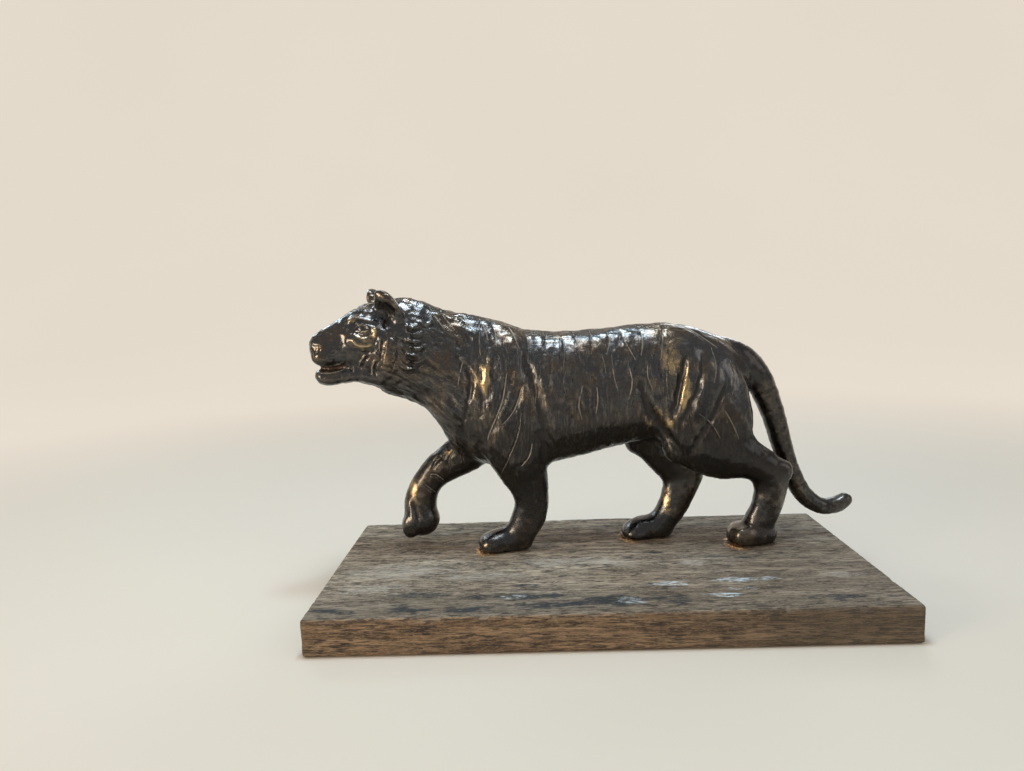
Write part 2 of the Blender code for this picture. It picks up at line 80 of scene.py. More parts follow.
def mesh_of(bm, name):
    mesh = bpy.data.meshes.new(name)
    bm.to_mesh(mesh)
    bm.free()
    return mesh


def worked_out(made):
    """The mesh of an object after its modifiers."""
    graph = bpy.context.evaluated_depsgraph_get()
    return bpy.data.meshes.new_from_object(made.evaluated_get(graph))


def triangles(mesh):
    return sum(len(p.vertices) - 2 for p in mesh.polygons)


print("board top at", round(BOARD_TOP, 2), "mm; box", CAD_BOX)

# %% [markdown]
# ## The camera
# A phone held close gives strong perspective: the near edge of the board looks much
# longer than the far one. So the camera also stands at the real distance, 15 cm away.

# %% Camera
CAMERA_PLACE = (-12.03, -144.47, 59.74)
YAW, PITCH, ROLL = radians(1.44), radians(6.81), radians(-2.02)
LENS, SENSOR, NEAREST = 25.91, 36.0, 0.005


def turned(x, y, z):
    """A direction turned about the vertical by the camera's yaw."""
    return Vector((cos(YAW) * x - sin(YAW) * y, sin(YAW) * x + cos(YAW) * y, z))


forward = turned(0, cos(PITCH), -sin(PITCH))
right = turned(cos(ROLL), sin(PITCH) * sin(ROLL), cos(PITCH) * sin(ROLL))
up = turned(-sin(ROLL), sin(PITCH) * cos(ROLL), cos(PITCH) * cos(ROLL))
camera = linked("camera", bpy.data.cameras.new("camera"))
camera.matrix_world = (Matrix.Translation(Vector(CAMERA_PLACE) * MM)
                       @ Matrix((right, up, -forward)).transposed().to_4x4())
camera.data.lens, camera.data.sensor_width, camera.data.clip_start = LENS, SENSOR, NEAREST
bpy.context.scene.camera = camera
bpy.context.scene.view_settings.view_transform = "Standard"
print("camera looks along", [round(value, 3) for value in forward])

# %% [markdown]
# ## Floor, backdrop and light
# Glossy metal shows its surroundings. A pale sheet that bends up behind the object has no
# horizon line to reflect. A soft cool lamp above does the modelling and a small one makes
# the fur sparkle; a low warm one on the left finds the muscles.

# %% Floor that bends up into a backdrop
SWEEP_HALF_WIDTH, SWEEP_FRONT, SWEEP_BEND, SWEEP_BACK, SWEEP_TOP = 1.6, -1.2, 0.45, 0.75, 1.5


def sweep():
    profile = [(SWEEP_FRONT, 0.0), (-0.4, 0.0), (0.0, 0.0), (SWEEP_BACK - SWEEP_BEND, 0.0)]
    for step in range(1, 13):
        angle = pi / 2 * step / 12
        profile.append((SWEEP_BACK - SWEEP_BEND + SWEEP_BEND * sin(angle),
                        SWEEP_BEND - SWEEP_BEND * cos(angle)))
    profile.append((SWEEP_BACK, SWEEP_TOP))
    bm, sides = bmesh.new(), (-SWEEP_HALF_WIDTH, 0, SWEEP_HALF_WIDTH)
    rows = [[bm.verts.new((x, y, z)) for x in sides] for y, z in profile]
    for low, high in zip(rows, rows[1:]):
        for i in range(2):
            bm.faces.new((low[i], low[i + 1], high[i + 1], high[i]))
    mesh = mesh_of(bm, "backdrop")
    mesh.shade_smooth()
    return linked("backdrop", mesh)


backdrop = sweep()
backdrop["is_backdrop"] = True

# %% Lamps and sky


def lamp(name, place, size, power, colour, target=(0.0, 9.0, 30.0)):
    """A square soft lamp; place and target in millimetres, size in metres."""
    light = bpy.data.lights.new(name, "AREA")
    light.size, light.energy, light.color = size, power, colour
    made = linked(name, light)
    made.location = Vector(place) * MM
    aim = Vector(target) - Vector(place)
    made.rotation_euler = aim.to_track_quat("-Z", "Y").to_euler()


lamp("window_above", (-30, -40, 330), 0.12, 0.43, (0.86, 0.94, 1.0))
lamp("skylight", (0, 5, 320), 0.034, 0.20, (0.52, 0.79, 1.0))
lamp("window_behind", (-230, 205, 215), 0.08, 0.15, (0.62, 0.83, 1.0), (-48, 8, 50))
lamp("low_left", (-330, -230, 110), 0.14, 0.66, (1.0, 0.83, 0.62), (-30, 5, 36))
lamp("right_fill", (300, -160, 170), 0.20, 0.12, (1.0, 0.98, 0.95))
lamp("rim_behind", (140, 260, 200), 0.12, 0.20, (0.76, 0.88, 1.0))
sky = bpy.data.worlds.new("sky")
bpy.context.scene.world = sky
sky.use_nodes = True
for label, value in (("Color", (0.93, 0.92, 0.90, 1.0)), ("Strength", 0.36)):
    sky.node_tree.nodes["Background"].inputs[label].default_value = value

# %% [markdown]
# ## Tools for working a surface
# A sculptor's moves are few: rub, press a line, raise a ridge, push with a finger. Each
# is a short function on numpy tables, because a plain loop over 100,000 points is slow.

# %% Reading and writing the points of a mesh


def read_points(mesh):
    """The mesh's points and their normals, as two tables."""
    points = np.empty(3 * len(mesh.vertices), np.float32)
    normals = np.empty(3 * len(mesh.vertices), np.float32)
    mesh.vertices.foreach_get("co", points)
    mesh.vertex_normals.foreach_get("vector", normals)
    return points.reshape(-1, 3).astype(float), normals.reshape(-1, 3).astype(float)


def write_points(mesh, points):
    mesh.vertices.foreach_set("co", points.astype(np.float32).ravel())
    mesh.update()


def edge_pairs(mesh):
    pairs = np.empty(2 * len(mesh.edges), np.int32)
    mesh.edges.foreach_get("vertices", pairs)
    return pairs.reshape(-1, 2)


def neighbour_mean(values, pairs):
    """Each point's mean of its neighbours' values."""
    a, b = pairs.T
    size = len(values)
    count = np.bincount(a, minlength=size) + np.bincount(b, minlength=size)
    columns = values.reshape(size, -1).T
    sums = [np.bincount(a, c[b], size) + np.bincount(b, c[a], size) for c in columns]
    return (np.array(sums) / count).T.reshape(values.shape)


def rub(mesh, rounds, hold=0.57):
    """Smooths without shrinking: each round pulls a point in, then pushes it back."""
    points, _ = read_points(mesh)
    pairs = edge_pairs(mesh)
    for _ in range(rounds):
        points += 0.55 * (neighbour_mean(points, pairs) - points)
        points -= hold * (neighbour_mean(points, pairs) - points)
    write_points(mesh, points)


def cloud(points, size, seed, octaves=3):
    """Smooth seeded noise, 0 to 1; size is the size of its lumps along X, Y and Z."""
    table = np.random.default_rng(seed).random((32, 32, 32))
    total, weight = np.zeros(len(points)), 0.0
    for octave in range(octaves):
        spot = points / np.array(size) * 2**octave + 7.3 * octave
        cell = np.floor(spot).astype(int)
        share = spot - cell
        share = share * share * (3 - 2 * share)
        value = np.zeros(len(points))
        for corner in np.ndindex(2, 2, 2):
            part = np.prod(np.where(np.array(corner) == 1, share, 1 - share), axis=1)
            i, j, k = ((cell + corner) % 32).T
            value += part * table[i, j, k]
        total += value * 0.5**octave
        weight += 0.5**octave
    return total / weight


def lengths(rows):
    return np.linalg.norm(rows, axis=1)


def ease(value, low, high):
    """0 below low, 1 above high, and a smooth climb between."""
    share = np.clip((value - low) / (high - low), 0, 1)
    return share * share * (3 - 2 * share)


def smooth_path(rows, steps=4):
    """A Catmull-Rom curve through the rows."""
    rows = [np.array(row, float) for row in rows]
    rows = [2 * rows[0] - rows[1], *rows, 2 * rows[-1] - rows[-2]]
    curve = []
    for a, b, c, d in zip(rows, rows[1:], rows[2:], rows[3:]):
        for t in np.arange(steps) / steps:
            curve.append((2 * b + (c - a) * t + (2 * a - 5 * b + 4 * c - d) * t**2
                          + (3 * b - a - 3 * c + d) * t**3) / 2)
    return curve + [rows[-2]]


def along_path(points, path):
    """Distance from a smooth line, where along it (0 to 1), and on which side."""
    corners = np.array(smooth_path(path))
    steps = lengths(np.diff(corners, axis=0))
    starts = np.concatenate(([0], np.cumsum(steps)))
    nearest = np.full(len(points), np.inf)
    where, hand = np.zeros(len(points)), np.zeros(len(points))
    for a, b, length, start in zip(corners, corners[1:], steps, starts):
        share = np.clip((points - a) @ (b - a) / length**2, 0, 1)
        off = points - a - share[:, None] * (b - a)
        away = lengths(off)
        closer = away < nearest
        nearest[closer] = away[closer]
        where[closer] = (start + share[closer] * length) / starts[-1]
        hand[closer] = (off[:, 0] * (b - a)[1] - off[:, 1] * (b - a)[0])[closer]
    return nearest, where, np.sign(hand)


# %% Pressing lines and fingers into the clay
# Two frames make the tables easy to draw: the body's has its middle plane at Y = 0, and
# the head's turns with the head. Heights count from the top of the board in both.
BODY_FRAME = Matrix.Translation((0.0, 9.0, BOARD_TOP))
HEAD_FRAME = Matrix.Translation((-38.0, 8.0, BOARD_TOP)) @ Matrix.Rotation(radians(14.0), 4, "Z")
NEAR, FAR = -1, 1


def in_frame(points, place):
    back = np.array(place.inverted())
    return points @ back[:3, :3].T + back[:3, 3]


def press_lines(mesh, lines, side, place=BODY_FRAME, lip=0.0):
    """Presses lines of (x, height), width, depth into one side, with a lip beside each.

    Returns how much each point was raised by a lip or a ridge, from 0 to 1.
    """
    points, normals = read_points(mesh)
    seen = in_frame(points, place)
    turn = normals @ np.array(place.to_3x3())
    facing = np.clip(3 * side * turn[:, 1] - 0.2, 0, 1) * (side * seen[:, 1] > 0)
    shift, raised = np.zeros(len(points)), np.zeros(len(points))
    for path, width, depth in lines:
        low, high = np.min(path, axis=0) - 3 * width, np.max(path, axis=0) + 3 * width
        inside = np.all((seen[:, [0, 2]] > low) & (seen[:, [0, 2]] < high), axis=1)
        spots = np.nonzero(inside & (facing > 0))[0]
        away, where, hand = along_path(seen[spots][:, [0, 2]], path)
        taper = np.clip(4.5 * where * (1 - where), 0, 1) ** 0.6
        profile = np.exp(-2 * (away / width) ** 2)
        beside = np.exp(-2 * ((away - 1.5 * width) / (0.8 * width)) ** 2) * (hand > 0)
        shift[spots] -= depth * facing[spots] * taper * (profile - lip * beside)
        crest = facing[spots] * taper * (lip * beside if depth > 0 else profile)
        raised[spots] = np.maximum(raised[spots], crest)
    write_points(mesh, points + normals * shift[:, None])
    return raised


def press(mesh, place, centre, radius, push, sides=(NEAR, FAR), power=1.5):
    """Pushes a round spot by push, on one or both sides; centre is in the frame."""
    turn = np.array(place.to_3x3())
    for side in sides:
        points, _ = read_points(mesh)
        away = lengths(in_frame(points, place) - np.array(centre) * (1, side, 1))
        reach = np.clip(1 - (away / radius) ** 2, 0, 1) ** power
        move = turn @ (np.array(push) * (1, side, 1))
        write_points(mesh, points + reach[:, None] * move)


print("tools ready")

# %% [markdown]
# ## The casting: from solid to clay
# The CAD tiger has the right masses in a few thousand flat triangles. A voxel remesh lays
# an even net over it that can take fine work, and the no-shrink rub melts the flat places.
# The head gets a net of half the size, and the worn paws are rubbed more.

# %% An even, fine net over the CAD tiger
BODY_NET = 0.43
HEAD_BACK, HEAD_FOOT = -35.0, 38.5


def clay_copy(node, name, voxel):
    """A closed copy of a CAD solid in millimetres, cut into even squares."""
    bm = bmesh.new()
    bm.from_mesh(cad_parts[node].data)
    bmesh.ops.remove_doubles(bm, verts=bm.verts, dist=1e-6)
    bmesh.ops.scale(bm, vec=(1 / MM,) * 3, verts=bm.verts)
    rough = linked(name + "_rough", mesh_of(bm, name + "_rough"))
    net = rough.modifiers.new("net", "REMESH")
    net.mode, net.voxel_size = "VOXEL", voxel
    fine = worked_out(rough)
    bpy.data.objects.remove(rough)
    fine.name = name
    return fine


def refine(mesh, chosen):
    """Cuts in four each square whose corners are all chosen."""
    bm = bmesh.new()
    bm.from_mesh(mesh)
    bm.verts.ensure_lookup_table()
    edges = [e for e in bm.edges if chosen[e.verts[0].index] and chosen[e.verts[1].index]]
    bmesh.ops.subdivide_edges(bm, edges=edges, cuts=1, use_grid_fill=True)
    bm.to_mesh(mesh)
    bm.free()


clay = clay_copy("tiger", "tiger_casting", BODY_NET)
rub(clay, 12)
points, _ = read_points(clay)
refine(clay, (points[:, 0] < HEAD_BACK) & (points[:, 2] > HEAD_FOOT))
rub(clay, 5)
PAWS_TO_SOFTEN = [((-19.5, 6.4, 9.0), (9, 6, 5.5), 22), ((11.5, 12.4, 9.0), (9, 5, 5), 14),
                  ((32.0, 6.4, 8.5), (9, 5, 4.5), 6)]
points, _ = read_points(clay)
pairs = edge_pairs(clay)
for centre, radii, rounds in PAWS_TO_SOFTEN:
    soft = 1 - ease(lengths((points - centre) / radii), 0.8, 1.1)
    soft = (soft * ease(points[:, 2] - BOARD_TOP, 0.4, 1.4))[:, None]
    for _ in range(rounds):
        points += 0.5 * soft * (neighbour_mean(points, pairs) - points)
write_points(clay, points)
print("clay:", len(clay.vertices), "points")

# %% [markdown]
# ## Muscles and folds
# The light finds these first: the edge of the shoulder blade, the folds of elbow and
# thigh, the ridges over the hip. Each is a line seen from the side, with a width and a
# depth in millimetres. A negative depth raises a ridge.

# %% Folds of the body
NEAR_FOLDS = [
    ([(-13.2, 41.5), (-11.3, 34.2), (-9.7, 28.4), (-9.3, 21.0)], 1.6, 0.14),
    ([(-24.6, 41.0), (-24.2, 34.0), (-25.6, 28.3), (-25.2, 22.5)], 1.1, 0.25),
    ([(9.4, 36.4), (11.7, 29.4), (15.5, 23.2), (19.2, 19.0)], 1.3, 0.35),
    ([(16.2, 28.4), (18.0, 35.1), (19.4, 41.0)], 1.1, 0.35),
    ([(19.9, 40.6), (19.2, 37.3), (18.3, 33.4), (17.3, 29.4)], 0.8, -0.40),
    ([(21.9, 40.9), (21.7, 36.5), (20.5, 32.4), (17.1, 26.2)], 0.8, 0.35),
    ([(26.6, 34.6), (24.3, 28.8), (21.2, 23.6), (20.0, 20.2)], 0.8, 0.35),
    ([(29.4, 38.2), (32.0, 35.0), (33.6, 31.0)], 1.0, 0.25),
    ([(12.0, 27.9), (15.3, 23.1), (17.1, 20.2)], 0.8, -0.30),
    ([(29.4, 28.1), (31.7, 24.7), (33.6, 21.6), (35.8, 18.9)], 0.8, -0.30),
    ([(-19.6, 43.4), (-20.6, 38.0), (-21.4, 33.7)], 1.0, -0.35),
    ([(-19.1, 34.1), (-20.7, 31.2), (-21.8, 29.9)], 0.7, -0.30),
    ([(-22.6, 36.2), (-24.3, 31.6), (-25.3, 27.0), (-23.7, 23.2), (-23.6, 21.5)], 0.6, -0.30),
]
# Stripes: each a shallow trough here, and a raised line laid in it further on
NEAR_STRIPES = [
    [(-21.9, 46.3), (-22.0, 44.0), (-21.8, 41.2)],
    [(-16.6, 38.3), (-17.4, 33.5), (-18.5, 30.3), (-20.5, 26.0), (-21.0, 24.3)],
    [(-13.0, 37.6), (-14.6, 32.2), (-16.0, 29.6), (-18.2, 27.3)],
    [(-14.0, 30.2), (-14.7, 25.7), (-17.1, 20.1), (-18.6, 17.2)],
    [(-7.4, 42.8), (-7.7, 38.2), (-8.3, 34.6)], [(-5.6, 46.0), (-4.9, 42.2), (-5.5, 38.0)],
    [(-9.7, 39.5), (-10.4, 35.0)], [(-11.4, 37.6), (-10.9, 34.0), (-11.2, 31.4)],
    [(-25.3, 40.8), (-26.1, 38.0), (-26.7, 35.0)], [(-12.0, 23.8), (-12.6, 21.1), (-14.5, 18.8)],
    [(-32.5, 52.0), (-30.7, 49.4), (-28.7, 46.6)], [(-30.0, 50.6), (-28.3, 48.4), (-26.3, 45.9)],
    [(-27.2, 50.0), (-24.9, 48.2), (-23.2, 46.4)], [(-22.6, 49.6), (-21.1, 47.1), (-20.2, 44.2)],
    [(-20.0, 48.6), (-18.8, 45.8), (-18.6, 42.7)], [(-17.3, 48.2), (-15.4, 45.8), (-13.9, 42.4)],
    [(-13.6, 46.9), (-12.4, 44.6), (-12.1, 41.4)], [(-9.4, 46.0), (-8.6, 44.4), (-8.8, 42.4)],
    [(-3.4, 45.7), (-2.2, 43.3), (-2.1, 40.2)], [(0.3, 45.9), (0.8, 43.4), (0.3, 40.8)],
    [(2.4, 41.0), (2.9, 38.9), (3.1, 36.9)], [(4.4, 41.2), (4.6, 36.8), (5.5, 33.2)],
    [(-1.5, 35.2), (-2.5, 31.2), (-1.9, 28.0)], [(1.2, 34.8), (1.3, 31.8), (0.8, 29.0)],
    [(6.4, 46.0), (7.6, 42.6), (9.2, 39.4)], [(15.3, 46.2), (14.6, 42.4), (14.0, 39.2)],
    [(10.5, 46.2), (10.8, 43.4), (10.2, 40.1)], [(3.8, 46.0), (4.2, 43.4), (3.4, 40.9)],
    [(-4.7, 38.6), (-5.4, 35.4), (-4.6, 32.0)], [(7.8, 38.3), (8.3, 34.9), (7.3, 31.5)],
    [(11.6, 39.6), (11.4, 36.4), (12.4, 33.4)],
    [(18.2, 46.4), (20.1, 45.5), (22.3, 44.0), (26.0, 41.2)],
    [(23.4, 44.4), (27.3, 42.7), (30.6, 39.2)], [(24.3, 41.8), (24.9, 38.0), (24.2, 34.4)],
    [(28.0, 39.0), (28.8, 35.6), (27.8, 31.8)], [(15.5, 40.0), (15.1, 34.7), (15.8, 29.6)],
    [(21.0, 28.8), (23.6, 26.6), (25.4, 23.4)], [(26.0, 29.6), (28.0, 26.0), (29.4, 22.8)],
]
STRIPE_WIDTH, STRIPE_DEPTH = 0.50, 0.11
press_lines(clay, NEAR_FOLDS, NEAR)


def press_stripes(paths, side):
    return press_lines(clay, [(path, STRIPE_WIDTH, STRIPE_DEPTH) for path in paths], side, lip=0.5)


lined = press_stripes(NEAR_STRIPES, NEAR)
print(len(NEAR_FOLDS), "folds and", len(NEAR_STRIPES), "stripes on the near side")

# %% [markdown]
# The far flank is hidden, so it gets the same stripes, each shifted a little, since no
# carver repeats a line exactly.

# %% Folds and stripes of the far side
shifts = np.random.default_rng(5)
FAR_FOLDS = [
    ([(-14.4, 41.5), (-13.0, 34.2), (-12.6, 28.4), (-13.8, 21.0)], 1.3, 0.30),
    ([(-25.0, 41.0), (-24.8, 34.0), (-26.0, 27.3)], 1.1, 0.25),
    ([(-18.4, 37.0), (-20.0, 30.8), (-24.0, 24.1)], 0.8, 0.25),
    ([(7.2, 35.4), (8.6, 28.4), (11.2, 21.0)], 1.3, 0.35),
    ([(14.2, 28.4), (16.0, 35.1), (17.4, 41.0)], 1.1, 0.35),
    ([(16.6, 40.6), (16.4, 36.0), (14.6, 31.0)], 0.8, -0.35),
    ([(15.0, 22.8), (19.2, 31.3), (21.0, 38.6)], 0.9, 0.25),
]
far_stripes = []
for path in NEAR_STRIPES:
    shift = shifts.uniform(-0.9, 0.9, (len(path), 2)) * (1.0, 0.5) + shifts.uniform(-1.2, 1.2, 2)
    if np.mean(path, axis=0)[1] > 27:
        far_stripes.append(np.array(path) + shift)
press_lines(clay, FAR_FOLDS, FAR)
lined = np.maximum(lined, press_stripes(far_stripes, FAR))
print(len(far_stripes), "stripes on the far side")

# %% Lines of the lifted leg and rings of the tail
LEG_FRAME = Matrix.Translation((0.0, 12.7, BOARD_TOP))
LEG_LINES = [
    ([(-31.7, 19.3), (-32.8, 18.4), (-33.6, 16.9)], 0.40, 0.22),
    ([(-34.2, 15.8), (-32.7, 15.6), (-31.1, 14.0)], 0.40, 0.22),
    ([(-35.4, 13.7), (-34.4, 12.7), (-33.2, 11.5)], 0.40, 0.22),
    ([(-28.6, 20.9), (-29.8, 19.2), (-29.9, 17.3)], 0.40, 0.20),
    ([(-25.8, 21.6), (-26.8, 19.8), (-26.6, 18.0)], 0.40, 0.20),
    ([(-38.4, 10.0), (-37.6, 7.8), (-37.2, 4.6)], 0.55, 0.50),
    ([(-36.4, 8.4), (-35.8, 6.8), (-35.5, 5.0)], 0.40, 0.24),
]
TAIL_LINE = [(26.5, 40.6), (31.5, 38.6), (35.0, 35.0), (37.2, 30.8), (39.2, 25.8), (41.0, 20.0),
             (42.9, 14.4), (45.6, 9.0), (49.4, 6.1), (52.8, 6.3), (54.6, 7.3)]
TAIL_RINGS = (0.20, 0.29, 0.38, 0.47, 0.56, 0.65, 0.74, 0.83, 0.91)
lined = np.maximum(lined, press_lines(clay, LEG_LINES, NEAR, LEG_FRAME, lip=0.8))
points, normals = read_points(clay)
tail, along, _ = along_path(points[:, [0, 2]] - (0, BOARD_TOP), TAIL_LINE)
on_tail = (tail < 3.0) & (points[:, 0] > 29)
uneven = 0.006 * (cloud(points, (2, 2, 2), 17, 2) - 0.5)
for ring in TAIL_RINGS:
    groove = np.exp(-2 * ((along + uneven - ring) / 0.006) ** 2)
    groove -= 0.7 * np.exp(-2 * ((along + uneven - ring - 0.010) / 0.006) ** 2)
    points -= normals * (0.06 * on_tail * groove)[:, None]
write_points(clay, points)
print(len(LEG_LINES), "lines on the lifted leg,", len(TAIL_RINGS), "rings on the tail")

# %% [markdown]
# ## The face
# A cat's face is planes more than lines: the flat nose, the step under the brow, the
# full muzzle over a short lip. The eye is a small ball in a shaded pit, and it looks
# alive only when the lids overlap it, so they are raised rims.

# %% Eyes, nose, mouth, cheeks and ears
EYE = (-8.5, 4.1, 47.8)
FACE_LINES = [
    ([(-11.2, 49.0), (-9.9, 50.0), (-8.4, 49.7), (-7.0, 49.2), (-5.4, 48.9)], 0.36, -0.26),
    ([(-10.2, 48.6), (-9.3, 49.3), (-8.2, 49.0), (-6.8, 48.6), (-5.8, 48.2)], 0.26, 0.26),
    ([(-10.2, 47.4), (-9.2, 48.3), (-8.2, 48.5), (-6.9, 47.8)], 0.26, -0.26),
    ([(-10.0, 47.2), (-8.7, 47.1), (-7.6, 47.2), (-6.8, 47.7)], 0.22, -0.16),
    ([(-9.6, 47.7), (-10.4, 47.0), (-11.1, 46.2)], 0.30, 0.20),
    ([(-9.8, 46.8), (-8.6, 46.2), (-7.3, 46.4), (-6.8, 47.1)], 0.32, 0.18),
    ([(-10.6, 45.9), (-9.8, 44.7), (-8.5, 44.3), (-7.2, 44.3), (-6.2, 45.0)], 0.42, -0.26),
    ([(-6.0, 46.0), (-6.1, 47.1), (-6.6, 48.1)], 0.34, -0.20),
    ([(-9.0, 45.4), (-8.2, 45.0), (-7.3, 45.2)], 0.40, 0.14),
    ([(-10.2, 43.9), (-8.6, 43.1), (-6.8, 43.2), (-5.0, 44.4)], 0.40, 0.22),
    ([(-17.9, 39.3), (-16.2, 39.1), (-14.2, 39.1), (-12.5, 39.6)], 0.28, -0.20),
    ([(-17.9, 40.9), (-16.0, 40.5), (-14.0, 40.6), (-12.2, 40.9)], 0.30, -0.14),
    ([(-12.2, 41.6), (-11.3, 40.8), (-10.9, 39.4)], 0.36, 0.10),
    ([(-18.8, 44.2), (-18.1, 43.5), (-17.3, 43.3), (-16.7, 43.9)], 0.26, 0.30),
    ([(-18.9, 45.1), (-17.9, 45.0), (-16.8, 44.8), (-16.0, 44.2)], 0.28, -0.14),
    ([(-16.0, 42.6), (-14.6, 42.6), (-13.2, 42.9)], 0.20, 0.07),
    ([(-16.2, 41.8), (-14.7, 41.7), (-13.2, 41.9)], 0.20, 0.07),
    ([(-7.8, 42.7), (-8.9, 41.5), (-9.5, 40.0)], 0.26, -0.24),
    ([(-7.2, 42.5), (-8.2, 41.3), (-8.8, 39.8)], 0.30, 0.24),
    ([(-6.3, 41.4), (-6.9, 39.9), (-6.9, 38.1)], 0.26, -0.24),
    ([(-5.7, 41.3), (-6.3, 39.9), (-6.3, 38.1)], 0.28, 0.24),
    ([(-10.6, 40.2), (-10.4, 39.0)], 0.22, -0.16),
    ([(-3.5, 46.4), (-3.9, 43.8), (-4.4, 41.4), (-5.0, 39.4)], 0.36, -0.30),
    ([(-4.5, 46.2), (-4.9, 43.6), (-5.5, 40.8)], 0.42, 0.28),
    ([(-1.8, 43.6), (-2.4, 41.2), (-3.4, 38.6)], 0.34, 0.20),
    ([(-14.6, 46.9), (-12.6, 47.6), (-11.4, 48.9)], 0.50, 0.14),
    ([(-4.2, 52.0), (-3.2, 50.4), (-3.7, 48.8), (-4.0, 47.4)], 0.55, 0.30),
]
# The ruff behind the cheek hangs in short scalloped locks
RUFF_LOCKS = [
    [(0.1, 48.2), (1.3, 47.4), (2.9, 47.9)], [(0.5, 46.8), (2.1, 46.0), (3.7, 46.6)],
    [(-0.2, 45.4), (1.5, 44.6), (3.2, 45.2)], [(0.6, 44.0), (2.3, 43.3), (4.1, 43.9)],
    [(-0.4, 42.7), (1.1, 42.0), (2.8, 42.6)], [(0.2, 41.2), (1.8, 40.6), (3.4, 41.2)],
    [(-1.4, 40.0), (0.2, 39.3), (1.9, 39.9)], [(2.6, 48.9), (4.2, 48.1), (5.6, 48.6)],
]
for side in (NEAR, FAR):
    lined = np.maximum(lined, 0.8 * press_lines(clay, FACE_LINES, side, HEAD_FRAME))
    press_lines(clay, [(lock, 0.50, -0.42) for lock in RUFF_LOCKS], side, HEAD_FRAME)
    low_edges = [([(x, z - 0.70) for x, z in lock], 0.34, 0.40) for lock in RUFF_LOCKS]
    press_lines(clay, low_edges, side, HEAD_FRAME)
press(clay, HEAD_FRAME, EYE, 0.62, (-0.05, 0.24, -0.02), power=0.7)
press(clay, HEAD_FRAME, (-18.1, 1.7, 43.8), 0.55, (0.35, -0.30, 0.05))
press(clay, HEAD_FRAME, (-18.6, 0.5, 45.0), 0.90, (-0.12, 0.05, 0.05))
print("face carved on both sides")

# %% [markdown]
# ## Which way the hair lies
# Hair runs back along the spine, down the flank and aslant on the neck; nose, lower legs
# and paws have none. Properties on the points keep how much hair there is and which way
# it lies, for the carving, the hair strokes and the finish.

# %% Hair direction and amount
EARS = {NEAR: (-2.9, -4.6, 51.3), FAR: (-4.1, 4.6, 51.8)}
EAR_HOLLOW = [(-4.2, 52.0), (-3.0, 50.6), (-3.6, 48.6)]


def store(mesh, name, values):
    """Keeps one number, or one direction, on each point of the mesh."""
    kind = "FLOAT" if values.ndim == 1 else "FLOAT_VECTOR"
    kept = mesh.attributes.new(name, kind, "POINT")
    kept.data.foreach_set("value" if values.ndim == 1 else "vector",
                          values.astype(np.float32).ravel())


def hair(mesh):
    """Amount of hair from 0 to 1, and the unit direction it lies in along the surface."""
    points, normals = read_points(mesh)
    x, y, height = points[:, 0], points[:, 1], points[:, 2] - BOARD_TOP
    spine, neck = ease(normals[:, 2], 0.35, 0.9), ease(-x, 20, 29)
    way = np.stack((0.25 + 0.9 * spine, np.zeros(len(x)), -1.0 + 0.8 * spine), axis=1)
    way += neck[:, None] * (0.75, 0.0, 0.25)
    head = ease(-x, 37, 42)
    way = way * (1 - head[:, None]) + head[:, None] * (1.0, 0.0, -0.35)
    wobble = cloud(points, (5, 5, 5), 3, 2) - 0.5
    way += wobble[:, None] * (1.1, 0.0, 0.2)
    way[on_tail] = np.stack((0.45 + along, 0 * along, along - 1.0), axis=1)[on_tail]
    way -= normals * np.sum(way * normals, axis=1)[:, None]
    way /= np.maximum(lengths(way), 1e-6)[:, None]
    amount = ease(height, 15, 22) * (1 - 0.55 * ease(x, 17, 24))
    amount *= 1 - 0.65 * ease(-x, 38.5, 41) * (height > 35) * (1 - ease(height, 48, 52))
    amount *= 1 - ease(-x, 45.5, 48.5) * (height > 35)
    amount *= 1 - 0.8 * ease(lined, 0.2, 0.6)
    amount[on_tail] = 0.15 * (x[on_tail] < 53)
    in_head = in_frame(points, HEAD_FRAME)
    for side in (NEAR, FAR):
        ear = lengths((in_head - EARS[side]) / (3.8, 3.4, 6.0))
        eye = lengths(in_head - np.array(EYE) * (1, side, 1))
        amount *= ease(ear, 0.9, 1.15) * ease(eye, 1.8, 2.8)
    return np.clip(amount, 0, 1), way, spine, neck


amount, way, spine, neck = hair(clay)
print("hairy share of the points:", round(float(np.mean(amount > 0.5)), 2))

# %% [markdown]
# The tufts are carved by combing: a cloud of soft lumps is averaged along the hair, which
# draws every lump out into a lock. Two sizes of lock break up the shine of neck and
# flank, and plain lumps do so on the face.

# %% Combed relief
LOCKS = ((0.95, 1.5, 0.13, 11), (0.50, 1.0, 0.07, 12))


def combed(points, way, size, reach, seed):
    """Soft noise drawn out along a direction into locks, about -1 to 1."""
    total = np.zeros(len(points))
    for step in np.linspace(-1, 1, 7):
        total += cloud(points + way * step * reach, (size, size, size), seed, 1)
    total -= total.mean()
    return np.clip(total / (1.5 * total.std()), -1.3, 1.3)


points, normals = read_points(clay)
shaggy = amount * (1 + 1.3 * ease(-points[:, 0], 18, 26))
faced = ease(-points[:, 0], 37, 42) * (points[:, 2] > HEAD_FOOT)
relief = 0.10 * (1 - faced) * (2 * cloud(points, (1.2, 1.2, 1.2), 15, 2) - 1)
relief += 0.12 * faced * (2 * cloud(points, (0.75, 0.75, 0.75), 16, 2) - 1)
for size, reach, high, seed in LOCKS:
    relief += high / 2 * (0.15 + shaggy) * combed(points, way, size, reach, seed)
write_points(clay, points + normals * relief[:, None])
print("locks rise", round(float(relief.max()), 2), "mm")
